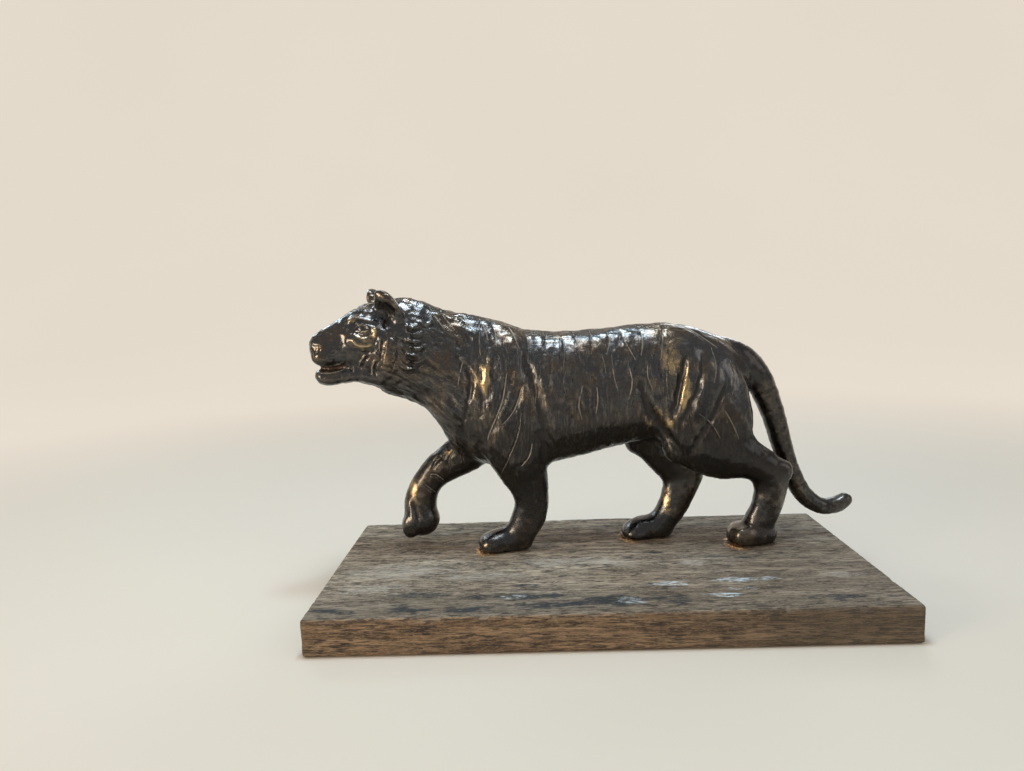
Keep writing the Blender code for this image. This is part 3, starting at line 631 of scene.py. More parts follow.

# %% [markdown]
# ## Worn heights, dirty hollows and painted light
# Hands reach the heights and never the hollows. A point that stands proud of the mean of
# its surroundings is worn, one that lies below it holds dirt, and the ear hollow takes
# painted shade with the dirt. A few places are rubbed more by the way a small statue is
# picked up; their warm gold is worn metal and also painted warm highlight. Painted shade
# darkens the low body, the faces turned down, the tail and the mouth.

# %% Wear, dirt, painted shade, and rubbed places with painted warm highlight
# Rubbed places as centre, half sizes and strength; their gold is worn metal and painted warm
# highlight.
RUBBED_AND_GLINTING = [
    ((15.8, 1.4, 40.4), (3.2, 3.6, 5.4), 0.9), ((18.5, 0.6, 34.6), (1.6, 3.0, 6.8), 1.0),
    ((-20.8, 1.2, 37.6), (2.2, 3.4, 6.0), 0.9), ((-44.8, 0.8, 45.6), (2.9, 3.0, 3.0), 0.9),
    ((-47.2, 2.4, 49.6), (1.7, 2.2, 1.0), 0.8), ((-42.7, 1.4, 47.0), (1.1, 2.4, 2.0), 0.8),
    ((-29.5, 10.2, 20.7), (2.2, 3.0, 1.6), 0.6), ((-38.1, 11.0, 12.9), (1.2, 3.0, 2.6), 0.6),
    ((16.4, 10.0, 8.6), (1.3, 3.0, 5.0), 0.7), ((-22.4, 4.0, 2.2), (2.3, 3.4, 1.5), 0.3),
    ((-38.8, 1.8, 46.6), (1.2, 2.4, 1.0), 0.6), ((13.4, 1.4, 27.6), (3.6, 3.4, 3.6), 0.7),
    ((-51.0, 4.0, 43.6), (2.4, 3.0, 1.6), 0.6), ((-40.8, 1.6, 42.0), (2.0, 3.0, 3.4), 0.5),
]


def wear(mesh):
    """How worn, how dirty and how rubbed each point is, each from 0 to 1; the dirt mask also holds
    painted shade in the ear hollow, and the rubbed places also carry painted warm highlight.
    """
    points, normals = read_points(mesh)
    pairs = edge_pairs(mesh)
    proud = np.zeros(len(points))
    calm = points
    for rounds, weight in ((4, 9.0), (14, 4.0)):
        for _ in range(rounds):
            calm = neighbour_mean(calm, pairs)
        proud += weight * np.sum((points - calm) * normals, axis=1)
    rubbedglint = np.zeros(len(points))
    for centre, radii, strength in RUBBED_AND_GLINTING:
        away = lengths((points - centre - np.array((0, 0, BOARD_TOP))) / radii)
        rubbedglint = np.maximum(rubbedglint, strength * (1 - ease(away, 0.3, 1.2)))
    ear, _, _ = along_path(in_frame(points, HEAD_FRAME)[:, [0, 2]], EAR_HOLLOW)
    # Painted shade: the ear hollow is darkened along with the dirt.
    ear_shade = (1 - ease(ear, 0.5, 0.95)) * (np.abs(normals[:, 1]) > 0.2) * (points[:, 2] > 46)
    return ease(proud, 0.25, 1.4), np.maximum(ease(-proud, 0.15, 1.1), ear_shade), rubbedglint


def painted_shade(mesh):
    """Painted shade, 0 to 1: most on the lower flank and belly and on faces turned down, less low
    on the legs, and 0.8 on the tail.
    """
    points, normals = read_points(mesh)
    height = points[:, 2] - BOARD_TOP
    low = 1 - ease(height + 6 * (cloud(points, (5, 5, 5), 18, 3) - 0.5), 24, 36)
    low *= 0.45 + 0.55 * ease(height, 9, 18)
    return np.maximum(np.maximum(low, ease(-normals[:, 2], -0.1, 0.6)), 0.8 * on_tail)


def mouth_inside(mesh):
    """1 between the lips, where a dark red-brown colour is painted in as shade."""
    points, _ = read_points(mesh)
    seen = in_frame(points, HEAD_FRAME)
    away, _, _ = along_path(seen[:, [0, 2]], [(-18.6, 39.9), (-15.4, 39.8), (-12.4, 40.2)])
    return (1 - ease(away, 0.25, 0.60)) * (np.abs(seen[:, 1]) < 3.4)


worn, dirtshade, rubbedglint = wear(clay)
for name, values in (("worn", worn), ("dirtshade", dirtshade), ("rubbedglint", rubbedglint), ("lined", lined),
                     ("mouth", mouth_inside(clay)), ("shade", painted_shade(clay)),
                     ("hair", amount), ("spine", spine), ("neck", neck), ("comb_way", way)):
    store(clay, name, values)
clay.transform(Matrix.Scale(MM, 4))
clay.shade_smooth()
casting = linked("tiger_casting", clay)
print("worn", round(float(worn.mean()), 2), "dirtshade", round(float(dirtshade.mean()), 2),
      "triangles", triangles(clay))

# %% [markdown]
# ## Node helpers
# Every finish below is a small network. A Value wraps a socket, so that sums of sockets
# read like sums of numbers, and one helper adds a node and sets or links its inputs.

# %% Node helper
class Value:
    """A socket of a node tree. Plus, minus and times between values add Math nodes."""

    def __init__(self, socket):
        self.socket, self.tree = socket, socket.id_data

    def maths(self, operation, a, b):
        return Value(add(self.tree, "ShaderNodeMath", {0: a, 1: b}, operation=operation).outputs[0])

    def __add__(self, other):
        return self.maths("ADD", self, other)

    def __sub__(self, other):
        return self.maths("SUBTRACT", self, other)

    def __mul__(self, other):
        return self.maths("MULTIPLY", self, other)


def add(tree, kind, inputs=None, **settings):
    """A new node; an input given as a Value is linked, any other one is set."""
    made = tree.nodes.new(kind)
    for name, value in settings.items():
        setattr(made, name, value)
    for name, value in (inputs or {}).items():
        if isinstance(value, Value):
            tree.links.new(value.socket, made.inputs[name])
        else:
            made.inputs[name].default_value = value
    return made


def most(a, b):
    return a.maths("MAXIMUM", a, b)


def mixed(share, a, b):
    """A blend of two colours."""
    made = add(share.tree, "ShaderNodeMix", {0: share, 6: a, 7: b}, data_type="RGBA")
    return Value(made.outputs[2])


def climb(value, low, high):
    """A mask: 0 where value is below low, 1 above high."""
    made = add(value.tree, "ShaderNodeMapRange", interpolation_type="SMOOTHSTEP",
               inputs={"Value": value, "From Min": low, "From Max": high})
    return Value(made.outputs["Result"])


def grain(where, scale, detail=3.0, roughness=0.55, stretch=(1, 1, 1)):
    """Noise on stretched coordinates; scale counts lumps per metre."""
    moved = add(where.tree, "ShaderNodeMapping", {"Vector": where, "Scale": stretch})
    made = add(where.tree, "ShaderNodeTexNoise",
               {"Vector": Value(moved.outputs[0]), "Scale": scale, "Detail": detail,
                "Roughness": roughness})
    return Value(made.outputs[0])


def property_of(tree, name):
    return Value(add(tree, "ShaderNodeAttribute", attribute_name=name).outputs["Fac"])


def object_place(tree):
    return Value(add(tree, "ShaderNodeTexCoord").outputs["Object"])


def new_group(name, inputs, outputs, kind="ShaderNodeTree"):
    """A node group with named sockets, the values of its inputs, and its end node."""
    group = bpy.data.node_groups.new(name, kind)
    for label, kind, value in inputs:
        socket = group.interface.new_socket(label, in_out="INPUT", socket_type=kind)
        if value is not None:
            socket.default_value = value
    for label, kind in outputs:
        group.interface.new_socket(label, in_out="OUTPUT", socket_type=kind)
    start, end = group.nodes.new("NodeGroupInput"), group.nodes.new("NodeGroupOutput")
    return group, [Value(socket) for socket in start.outputs[:len(inputs)]], end


def feed(node, **values):
    """Links values to a node's inputs; a _ in a name stands for a blank."""
    for label, value in values.items():
        value.tree.links.new(value.socket, node.inputs[label.replace("_", " ")])


def new_material(name):
    made = bpy.data.materials.new(name)
    made.use_nodes = True
    return made, made.node_tree, made.node_tree.nodes["Principled BSDF"]


COLOUR, NUMBER, VECTOR, GEOMETRY = ("NodeSocket" + kind for kind in ("Color", "Float", "Vector",
                                                                     "Geometry"))
print("node helpers ready")

# %% [markdown]
# ## The finish of the metal
# The casting was blackened and waxed: nearly black, with brown in it. Thin edges and
# stripes are worn to a dull grey-brown, and dull dirt sits in the hollows. Touched places
# show warm yellow metal, which is also painted warm highlight. Painted shade darkens the
# low body, the faces turned down, the tail, the mouth and the ear hollow. The group turns
# the stored properties and a few noises into a colour, a roughness, a metal mask and a
# fine height, which has the hair in it too.

# %% Group: blackened metal with wear, dirt, painted shade and painted warm highlight
STORED = ("worn", "lined", "dirtshade", "rubbedglint", "mouth", "shade", "hair", "spine", "neck")
# Two of these tones are painted shade: the near-black one laid by the shade mask, and the dark
# red-brown one of the mouth. The gold one is worn yellow metal and also painted warm highlight.
TONES = {"Black": (0.092, 0.093, 0.096), "Brown": (0.135, 0.102, 0.074),
         "PaintedShade": (0.026, 0.023, 0.021), "Bare": (0.33, 0.285, 0.225),
         "GoldGlint": (0.62, 0.45, 0.24), "DirtAndEarShade": (0.018, 0.015, 0.013), "Red": (0.060, 0.028, 0.020)}


def blackened_metal():
    """The group; STORED and TONES are its inputs, after Where."""
    group, inputs, end = new_group(
        "blackened_metal",
        [("Where", VECTOR, None), *((name.title(), NUMBER, 0.0) for name in STORED),
         *((name, COLOUR, (*colour, 1)) for name, colour in TONES.items())],
        [("Colour", COLOUR), ("Roughness", NUMBER), ("Metal", NUMBER), ("Height", NUMBER)])
    where, worn, lined, dirtshade, rubbedglint, mouth, shade, hair, spine, neck = inputs[:10]
    tone = dict(zip(TONES, inputs[10:]))
    leaning = Value(add(group, "ShaderNodeMapping",
                        {"Vector": where, "Rotation": (0, -0.64, 0)}).outputs[0])

    def strands(scale, stretch):
        """Noise drawn out along the hair: down the flank, back on the spine, aslant on the neck."""
        down = grain(where, scale, 2.0, 0.5, (1.0, 1.0, stretch))
        back = grain(where, scale, 2.0, 0.5, (stretch, 1.0, 1.0))
        slant = grain(leaning, scale, 2.0, 0.5, (stretch, 1.0, 1.0))
        share = spine * (back - down) + down
        return neck * (slant - share) + share

    broad = grain(where, 160.0, 4.0, 0.6)
    fine = grain(where, 1300.0, 3.0, 0.6)
    speck = grain(where, 5200.0, 2.0, 0.5)
    tufts = strands(1900.0, 0.16)
    ragged = (fine - 0.5) * 0.9
    uneven = ragged + (broad - 0.5) * 0.9
    lines = climb(ragged * 0.7 + lined, 0.30, 1.0)
    # The shade mask also dims the worn colour, as painted shade.
    bare = climb(worn * 0.6 + uneven, 0.40, 1.0) * (shade * -0.3 + 0.6)
    bare = most(bare, lines * 0.8)
    bare = climb(tufts, 0.50, 0.68) * hair * (shade * -0.2 + 0.3) + bare
    # Gold on the rubbed places: worn yellow metal, and painted warm highlight.
    gold_glint = climb(uneven * 0.9 + rubbedglint * (worn * 0.5 + 0.6), 0.22, 0.85)
    # The dirt tone also paints shade in the ear hollow.
    dirt_and_ear_shade = climb(dirtshade + ragged, 0.25, 0.95)
    skin = mixed(climb(fine * 0.4 + broad, 0.62, 0.88), tone["Black"], tone["Brown"])
    # Painted shade (shade mask, mouth) and painted warm highlight (rubbed places) are laid here
    # with the wear and the dirt.
    for share, laid in ((shade * 0.9, "PaintedShade"), (bare, "Bare"), (gold_glint * 0.75, "GoldGlint"),
                        (dirt_and_ear_shade, "DirtAndEarShade"), (mouth, "Red")):
        skin = mixed(share, skin, tone[laid])
    rough = fine * 0.16 + most(dirt_and_ear_shade, lines) * 0.25 + shade * 0.13 + broad * 0.08 + 0.10
    metal = most(most(dirt_and_ear_shade, mouth), lines) * -0.6 + 1.0
    height = (strands(4600.0, 0.10) * 1.7 + tufts * 1.4) * hair + speck * 0.25 + fine * 0.8
    feed(end, Colour=skin, Roughness=rough, Metal=metal, Height=height)
    return group


BLACKENED_METAL = blackened_metal()
WAX = {"Coat Weight": 0.35, "Coat Roughness": 0.12}


def metal(name, depth):
    """A material of the blackened metal; depth is the height of its fine bumps."""
    made, tree, shader = new_material(name)
    given = {name.title(): property_of(tree, name) for name in STORED}
    use = add(tree, "ShaderNodeGroup", node_tree=BLACKENED_METAL)
    feed(use, Where=object_place(tree), **given)
    colour, rough, metallic, height = (Value(socket) for socket in use.outputs)
    bump = add(tree, "ShaderNodeBump", {"Height": height, "Distance": depth, "Strength": 0.8})
    feed(shader, Base_Color=colour, Roughness=rough, Metallic=metallic,
         Normal=Value(bump.outputs[0]))
    for label, value in WAX.items():
        shader.inputs[label].default_value = value
    return made


casting_metal = metal("blackened_cast_metal", 0.00005)
casting.data.materials.clear()
casting.data.materials.append(casting_metal)
print("metal finish has", len(BLACKENED_METAL.nodes), "nodes")

# %% [markdown]
# ## Hair strokes
# Between the tufts the casting has hair strokes finer than the net can hold. Geometry
# Nodes suit what repeats thousands of times: even points on the hairy skin, and a slim
# lens laid on each along the stored direction.

# %% Hair strokes with Geometry Nodes
STROKES = {"Spacing": 0.00034, "Length": 0.00060, "Width": 0.000045, "Height": 0.000030, "Seed": 4}


def stroke_tree(material):
    """Points on the hairy skin, each with a slim lens of eight faces."""
    kinds = {"Skin": GEOMETRY, **{label: NUMBER for label in STROKES}, "Seed": "NodeSocketInt"}
    tree, inputs, end = new_group("hair_strokes", [(label, kinds[label], None) for label in kinds],
                                  [("Strokes", GEOMETRY)], "GeometryNodeTree")
    skin, spacing, long, width, height, seed = inputs

    def step(kind, inputs, *outputs, **settings):
        made = add(tree, kind, inputs, **settings)
        return [Value(made.outputs[name]) for name in outputs or (0,)]

    amount, = step("GeometryNodeInputNamedAttribute", {"Name": "hair"}, data_type="FLOAT")
    way, = step("GeometryNodeInputNamedAttribute", {"Name": "comb_way"}, data_type="FLOAT_VECTOR")
    spots, normal = step("GeometryNodeDistributePointsOnFaces",
                         {"Mesh": skin, "Distance Min": spacing, "Density Max": 4.0e6,
                          "Density Factor": amount, "Seed": seed}, "Points", "Normal",
                         distribute_method="POISSON")
    turn, = step("FunctionNodeAxesToRotation", {"Primary Axis": normal, "Secondary Axis": way},
                 primary_axis="Z", secondary_axis="X")
    vary, = step("FunctionNodeRandomValue", {2: 0.7, 3: 1.35, "Seed": seed}, 1, data_type="FLOAT")
    size, = step("ShaderNodeCombineXYZ", {"X": long * vary, "Y": width, "Z": height})
    lens, = step("GeometryNodeMeshUVSphere", {"Segments": 4, "Rings": 2}, "Mesh")
    laid, = step("GeometryNodeInstanceOnPoints",
                 {"Points": spots, "Instance": lens, "Rotation": turn, "Scale": size})
    real, = step("GeometryNodeRealizeInstances", {"Geometry": laid})
    soft, = step("GeometryNodeSetShadeSmooth", {"Geometry": real})
    dressed, = step("GeometryNodeSetMaterial", {"Geometry": soft, "Material": material})
    feed(end, Strokes=dressed)
    return tree


def grow(source, tree, values, name):
    """Runs a tree on a copy of an object's mesh and keeps the result as a plain object."""
    carrier = linked(name + "_carrier", source.data)
    step = carrier.modifiers.new(name, "NODES")
    step.node_group = tree
    for item in tree.interface.items_tree:
        if item.in_out == "INPUT" and item.name in values:
            step[item.identifier] = values[item.name]
    mesh = worked_out(carrier)
    carrier.modifiers.remove(step)
    bpy.data.objects.remove(carrier)
    mesh.name = name
    return linked(name, mesh)


hair_metal = metal("blackened_hair_metal", 0.00002)
strokes = grow(casting, stroke_tree(hair_metal), STROKES, "hair_strokes")
print("stroke triangles", triangles(strokes.data))

# %% [markdown]
# ## Raised lines
# Stripes, lips and lids are thinner than the net of the clay, so they are laid on as slim
# ridges. Each line is thrown at the skin from the side, and a four-sided ridge follows the
# spots where it lands: highest in the middle, sunk at its ends, never quite even.

# %% Slim ridges along lines on the skin
FACE_RIDGES = [
    [(-17.6, 39.2), (-16.2, 39.0), (-14.2, 39.1), (-12.3, 39.7)],
    [(-7.8, 42.7), (-8.9, 41.5), (-9.5, 40.0)], [(-6.3, 41.4), (-6.9, 39.9), (-6.9, 38.1)],
    [(-10.5, 40.2), (-10.5, 38.9)], [(-3.5, 46.4), (-3.9, 43.8), (-4.4, 41.4), (-5.0, 39.4)],
    [(-11.3, 48.8), (-9.8, 50.0), (-8.3, 49.6), (-5.8, 49.0)],
    [(-4.9, 46.0), (-5.3, 44.2), (-5.1, 42.6)],
    [(-18.8, 44.1), (-18.2, 43.5), (-17.4, 43.2), (-16.7, 43.9)],
]
LINE_SETS = [(NEAR_STRIPES, NEAR, BODY_FRAME, 30), (far_stripes, FAR, BODY_FRAME, 30),
             ([line[0] for line in LEG_LINES[:5]], NEAR, LEG_FRAME, 5),
             (FACE_RIDGES, NEAR, HEAD_FRAME, 15), (FACE_RIDGES, FAR, HEAD_FRAME, 15)]
RIDGE_WIDTH, RIDGE_HEIGHT, RIDGE_SUNK = 0.17, 0.09, 0.08


def landed(skin, path, side, place, start):
    """Where a line lands on the skin, in runs without a jump: places and normals in mm."""
    runs, turn = [[]], place.to_3x3()
    for x, height in smooth_path(path, 9):
        spot, normal, _, _ = skin.ray_cast(place @ Vector((x, side * start, height)) * MM,
                                           turn @ Vector((0, -side, 0)))
        if spot is None or (runs[-1] and (spot / MM - runs[-1][-1][0]).length > 1.2):
            runs.append([])
        if spot is not None:
            runs[-1].append((spot / MM, normal))
    return [run for run in runs if len(run) > 5]


def ridge(shape, kept, run, bright, vary):
    """One closed ridge along a run of places."""
    places, normals = (np.array([tuple(part[i]) for part in run]) for i in (0, 1))
    for _ in range(3):
        places[1:-1] = (places[:-2] + 2 * places[1:-1] + places[2:]) / 4
        normals[1:-1] = (normals[:-2] + 2 * normals[1:-1] + normals[2:]) / 4
    across = np.cross(normals, np.gradient(places, axis=0))
    across /= lengths(across)[:, None]
    share = np.linspace(0, 1, len(run))
    size = vary.uniform(0.7, 1.4) * (4 * share * (1 - share)) ** 0.5
    size = (size * vary.uniform(0.75, 1.2, len(run)))[:, None]
    rows = np.stack((places - across * RIDGE_WIDTH * size - normals * 0.02,
                     places + normals * RIDGE_HEIGHT * size,
                     places + across * RIDGE_WIDTH * size - normals * 0.02,
                     places - normals * RIDGE_SUNK), axis=1) * MM
    rings = [[shape.verts.new(spot) for spot in row] for row in rows[1:-1]]
    tips = [shape.verts.new(rows[i].mean(axis=0)) for i in (0, -1)]
    for a, b in zip(rings, rings[1:]):
        for i in range(4):
            shape.faces.new((a[i], a[i - 1], b[i - 1], b[i]))
    for i in range(4):
        shape.faces.new((tips[0], rings[0][i - 1], rings[0][i]))
        shape.faces.new((tips[1], rings[-1][i], rings[-1][i - 1]))
    for point in [p for ring in rings for p in ring] + tips:
        point[kept] = bright


skin = BVHTree.FromObject(casting, bpy.context.evaluated_depsgraph_get())
shape, vary = bmesh.new(), np.random.default_rng(12)
kept = shape.verts.layers.float.new("lined")
for paths, side, place, start in LINE_SETS:
    for path in paths:
        for run in landed(skin, path, side, place, start):
            ridge(shape, kept, run, vary.uniform(0.45, 1.0), vary)
bmesh.ops.recalc_face_normals(shape, faces=shape.faces)
ridges = linked("raised_lines", mesh_of(shape, "raised_lines"))
ridges.data.shade_smooth()
ridges.data.materials.append(casting_metal)
print("raised lines:", triangles(ridges.data), "triangles")

# %% [markdown]
# ## The board
# An offcut of open-grained hardwood, grey on top and brown on its edges. Top and edges
# are one net of fine squares, so that the grain can be cut in as real furrows that run on
# over the rounded edge, and the outline is uneven, as an old board's is.

# %% A board in fine squares
LOW, HIGH = (np.array(corner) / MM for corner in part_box("wooden_base"))
BOARD_NET = 0.30
EDGE_ROUND = 0.75


def board_net():
    """A closed box of fine squares; its underside is one face inside a narrow rim."""
    a, b, c = counts = np.round((HIGH - LOW) / BOARD_NET).astype(int)
    lines = [np.linspace(*ends) for ends in zip(LOW, HIGH, counts + 1)]
    bm, corners = bmesh.new(), {}

    def corner(*place):
        if place not in corners:
            corners[place] = bm.verts.new([line[i] for line, i in zip(lines, place)])
        return corners[place]

    def square(*places):
        bm.faces.new([corner(*place) for place in places])

    for i in range(a):
        for j in range(b):
            square((i, j, c), (i + 1, j, c), (i + 1, j + 1, c), (i, j + 1, c))
        for k in range(c):
            square((i, 0, k), (i + 1, 0, k), (i + 1, 0, k + 1), (i, 0, k + 1))
            square((i, b, k), (i, b, k + 1), (i + 1, b, k + 1), (i + 1, b, k))
    for j in range(b):
        for k in range(c):
            square((0, j, k), (0, j, k + 1), (0, j + 1, k + 1), (0, j + 1, k))
            square((a, j, k), (a, j + 1, k), (a, j + 1, k + 1), (a, j, k + 1))
    rim = [corner(*place, 0) for place in (
        *((i, 0) for i in range(a)), *((a, j) for j in range(b)),
        *((i, b) for i in range(a, 0, -1)), *((0, j) for j in range(b, 0, -1)))]
    foot = {}
    for point in rim:
        key = tuple(np.clip(point.co[:2], LOW[:2] + EDGE_ROUND, HIGH[:2] - EDGE_ROUND))
        foot[point] = foot[key] = foot.get(key) or bm.verts.new((*key, LOW[2]))
    for one, two in zip(rim, rim[1:] + rim[:1]):
        bm.faces.new(list(dict.fromkeys((two, one, foot[one], foot[two]))))
    bm.faces.new(list(dict.fromkeys(foot[point] for point in rim))[::-1])
    return mesh_of(bm, "weathered_board")


board_mesh = board_net()
points, _ = read_points(board_mesh)
inner = np.clip(points, LOW + EDGE_ROUND, HIGH - EDGE_ROUND)
outward = points - inner
outward /= lengths(outward)[:, None]
points = inner + outward * EDGE_ROUND
print("board net:", len(points), "points")

# %% [markdown]
# The relief sums what happened to the board: it weathered (furrows), it dried (checks)
# and it was knocked about (chipped edges, dents). All of it only takes wood away.

# %% Furrows, checks, dents and chipped edges
CHECKS = [
    [(-40, -14.5), (-24, -15.2), (-8, -14.8)], [(4, -18.2), (22, -18.9), (37, -18.4)],
    [(18, 0.5), (34, 0.0), (52, 0.6)], [(-52, 7.5), (-38, 7.9), (-27, 7.4)],
    [(28, -9.0), (40, -9.4), (50, -9.1)], [(-20, 19.0), (0, 18.4), (22, 18.9)],
]


def furrows(points, size, seed):
    """Long thin grooves along the board: 1 at the bottom of a groove."""
    line = cloud(points, size, seed, 2)
    return np.clip(1 - np.abs(2 * line - 1) * 3.2, 0, 1) ** 1.5


end_grain = ease(np.abs(outward[:, 0]), 0.6, 0.9)
depth = 0.07 * furrows(points, (13, 0.50, 0.50), 21) * (1 - end_grain)
depth += 0.05 * furrows(points, (6, 0.38, 0.38), 22) * (1 - end_grain)
depth += 0.06 * cloud(points, (30, 2.4, 2.4), 23) + 0.05 * cloud(points, (1.2, 0.9, 0.9), 24, 2)
depth += 0.10 * cloud(points, (0.9, 0.9, 0.9), 25, 2) * end_grain
on_top = ease(outward[:, 2], 0.6, 0.9)
for line in CHECKS:
    away, along, _ = along_path(points[:, :2], line)
    taper = np.clip(4 * along * (1 - along), 0, 1)
    depth += 0.28 * on_top * taper * np.exp(-2 * (away / 0.28) ** 2)
near_edge = np.sort(np.minimum(points - LOW, HIGH - points), axis=1)[:, 1]
chips = ease(cloud(points, (3.0, 2.2, 2.2), 26, 3), 0.56, 0.78) * (1 - ease(near_edge, 0.4, 1.4))
chips *= (0.45 + 0.55 * ease(-points[:, 1], 18, 24)) * (points[:, 2] > LOW[2] + 0.8)
depth += 0.30 * chips
dents = np.random.default_rng(8)
for _ in range(26):
    spot = dents.uniform((-50, -25), (50, 25))
    away = lengths((points[:, :2] - spot) / dents.uniform(0.5, 1.4, 2))
    depth += on_top * dents.uniform(0.05, 0.16) * np.clip(1 - away**2, 0, 1) ** 1.5
depth[points[:, 2] < LOW[2] + 0.05] = 0
points = points - outward * depth[:, None]
write_points(board_mesh, points)
print("deepest mark", round(float(depth.max()), 2), "mm")

# %% [markdown]
# Amber glue crept out at the toes. It is a bead that hugs each paw, so its height follows
# the distance from the metal: nothing under the sole, most just outside it, and gone
# after a millimetre.

# %% Beads of glue around the standing paws
PAW_BOXES = [((-27.0, 2.0), (-9.5, 11.0)), ((25.5, 2.0), (41.5, 11.0)), ((4.0, 8.0), (21.0, 17.0))]
SOLE_BAND, BEAD_HEIGHT, BEAD_WIDTH = 1.1, 0.45, 0.52


def within(points, low, high):
    return np.all((points[:, :2] > low) & (points[:, :2] < high), axis=1)


def glue_bead(points, metal_points):
    """Height of the glue on each point of the board's top, in millimetres."""
    height = np.zeros(len(points))
    rise = metal_points[:, 2] - BOARD_TOP
    soles = metal_points[(rise > 0.2) & (rise < SOLE_BAND)]
    for low, high in PAW_BOXES:
        spots = np.nonzero(within(points, low, high) & (points[:, 2] > BOARD_TOP - 1))[0]
        paw = soles[within(soles, low, high)]
        toes = 1 - 0.85 * ease((points[spots, 0] - low[0]) / (high[0] - low[0]), 0.22, 0.45)
        for start in range(0, len(spots), 2000):
            some = spots[start:start + 2000]
            gap = points[some][:, None, :2] - paw[None, :, :2]
            away = np.sqrt(np.min(np.sum(gap**2, axis=2), axis=1))
            height[some] = np.exp(-((away - 0.35) / BEAD_WIDTH) ** 2) * (away > 0.12)
        height[spots] *= toes
    lumps = ease(cloud(points, (0.8, 0.8, 0.8), 41, 2), 0.34, 0.64)
    return BEAD_HEIGHT * height * (0.15 + 0.85 * lumps)


bead = glue_bead(points, read_points(casting.data)[0] / MM) * on_top
points[:, 2] += bead
write_points(board_mesh, points)
print("glue stands", round(float(bead.max()), 2), "mm high")

# %% [markdown]
# Four kinds of blotch have places of their own, kept as properties on the points:
# blue-black stains, bleached areas, chalky scrapes, and a brown tint that is painted
# shadow of the tiger and painted reflected glow around the paws.

# %% Stains, pale areas, chalk, painted shadow and glow, and painted shade on the board
STAINS = [((-47, -23.0), (5, 1.2)), ((-35.5, -22.6), (5, 2.4)), ((-31.7, -17.0), (7, 1.4)),
          ((2, -21.0), (7, 3.0)), ((-15, -18.6), (12, 1.6)), ((-9, -22.6), (9, 1.8)),
          ((12, -21.5), (4, 2.4)), ((-24, -24.0), (6, 1.4)), ((-14, -13.6), (2.2, 1.0)),
          ((12.4, 2.1), (2.2, 0.7)), ((24.4, -1.1), (2.2, 0.7)), ((29.5, -2.1), (2.4, 0.7)),
          ((-33.2, 5.0), (1.6, 1.0)), ((40, -22), (8, 1.2))]
PALE = [((-7.2, -1.6), (12, 3.2)), ((3.6, -3.0), (7, 2.0)), ((18.8, -4.1), (3.2, 2.0)),
        ((-42.9, -13.5), (9, 3.2)), ((-40, -5), (12, 5)), ((-22, -9), (12, 2.6)),
        ((44, -12), (6, 1.6))]
CHALK = [((24.4, -13.3), (5.0, 1.2)), ((30.4, -13.0), (2.2, 0.9)), ((12.0, -14.4), (4.4, 1.5)),
         ((20.8, -19.9), (3.4, 1.2)), ((24.0, -17.2), (3.0, 0.9)), ((-16.5, -18.6), (2.6, 0.8)),
         ((4.0, -21.4), (2.6, 1.8))]
# Painted shadow of the tiger behind it, and painted reflected glow around the paws.
PAINTED_SHADOW_AND_GLOW = [((-30, 8.5), (12, 2.6)), ((-6.7, 11.2), (9, 1.8)), ((2.2, 12.5), (8, 1.8)),
         ((24, 10), (8, 1.8)), ((-24.3, 7.5), (3.6, 3.0)), ((10.5, 9.8), (3.6, 2.4)),
         ((27.5, 7.7), (2.6, 2.6))]


def blotch(points, spots, ragged, seed):
    """1 inside the listed ovals of (x, y), (half length, half width), torn by noise."""
    found = np.zeros(len(points))
    for centre, radii in spots:
        away = lengths((points[:, :2] - centre) / radii)
        found = np.maximum(found, 1 - ease(away, 0.2, 1.3))
    torn = cloud(points, (2.2, 0.8, 0.8), seed, 4) - 0.5
    return ease(found + ragged * torn * (found > 0), 0.30, 0.80)


for name, spots, torn, seed in (("stain", STAINS, 2.8, 31), ("pale", PALE, 1.8, 32),
                                ("chalk", CHALK, 2.6, 35), ("painted_shadow_and_glow", PAINTED_SHADOW_AND_GLOW, 1.8, 34)):
    store(board_mesh, name, blotch(points, spots, torn, seed) * on_top)
# Painted shade: the board darkens towards its right end, and along the front of its top.
painted_board_shade = np.maximum(ease(points[:, 0], -4, 42) * (1 - 0.35 * on_top),
                  0.7 * on_top * ease(-points[:, 1], 12, 21))
# Edges are lighter where worn and chipped; this also paints the highlight on the rounded edges.
edge_wear_and_highlight = np.maximum(chips, 0.7 * (1 - ease(near_edge, 0.1, 0.7)))
for name, values in (("top", on_top * (1 - 0.5 * chips)), ("edge_wear_and_highlight", edge_wear_and_highlight), ("painted_board_shade", painted_board_shade),
                     ("glue", ease(bead, 0.04, 0.16)), ("furrow", np.clip(depth / 0.22, 0, 1))):
    store(board_mesh, name, values)
board_mesh.transform(Matrix.Scale(MM, 4))
board_mesh.shade_smooth()
board = linked("weathered_board", board_mesh)
print("board triangles", triangles(board_mesh))

# %% [markdown]
# ## Blind holes for the pegs
# The tiger stands on three short pegs. The holes are drilled where the CAD has them, a
# little wider than the pegs.

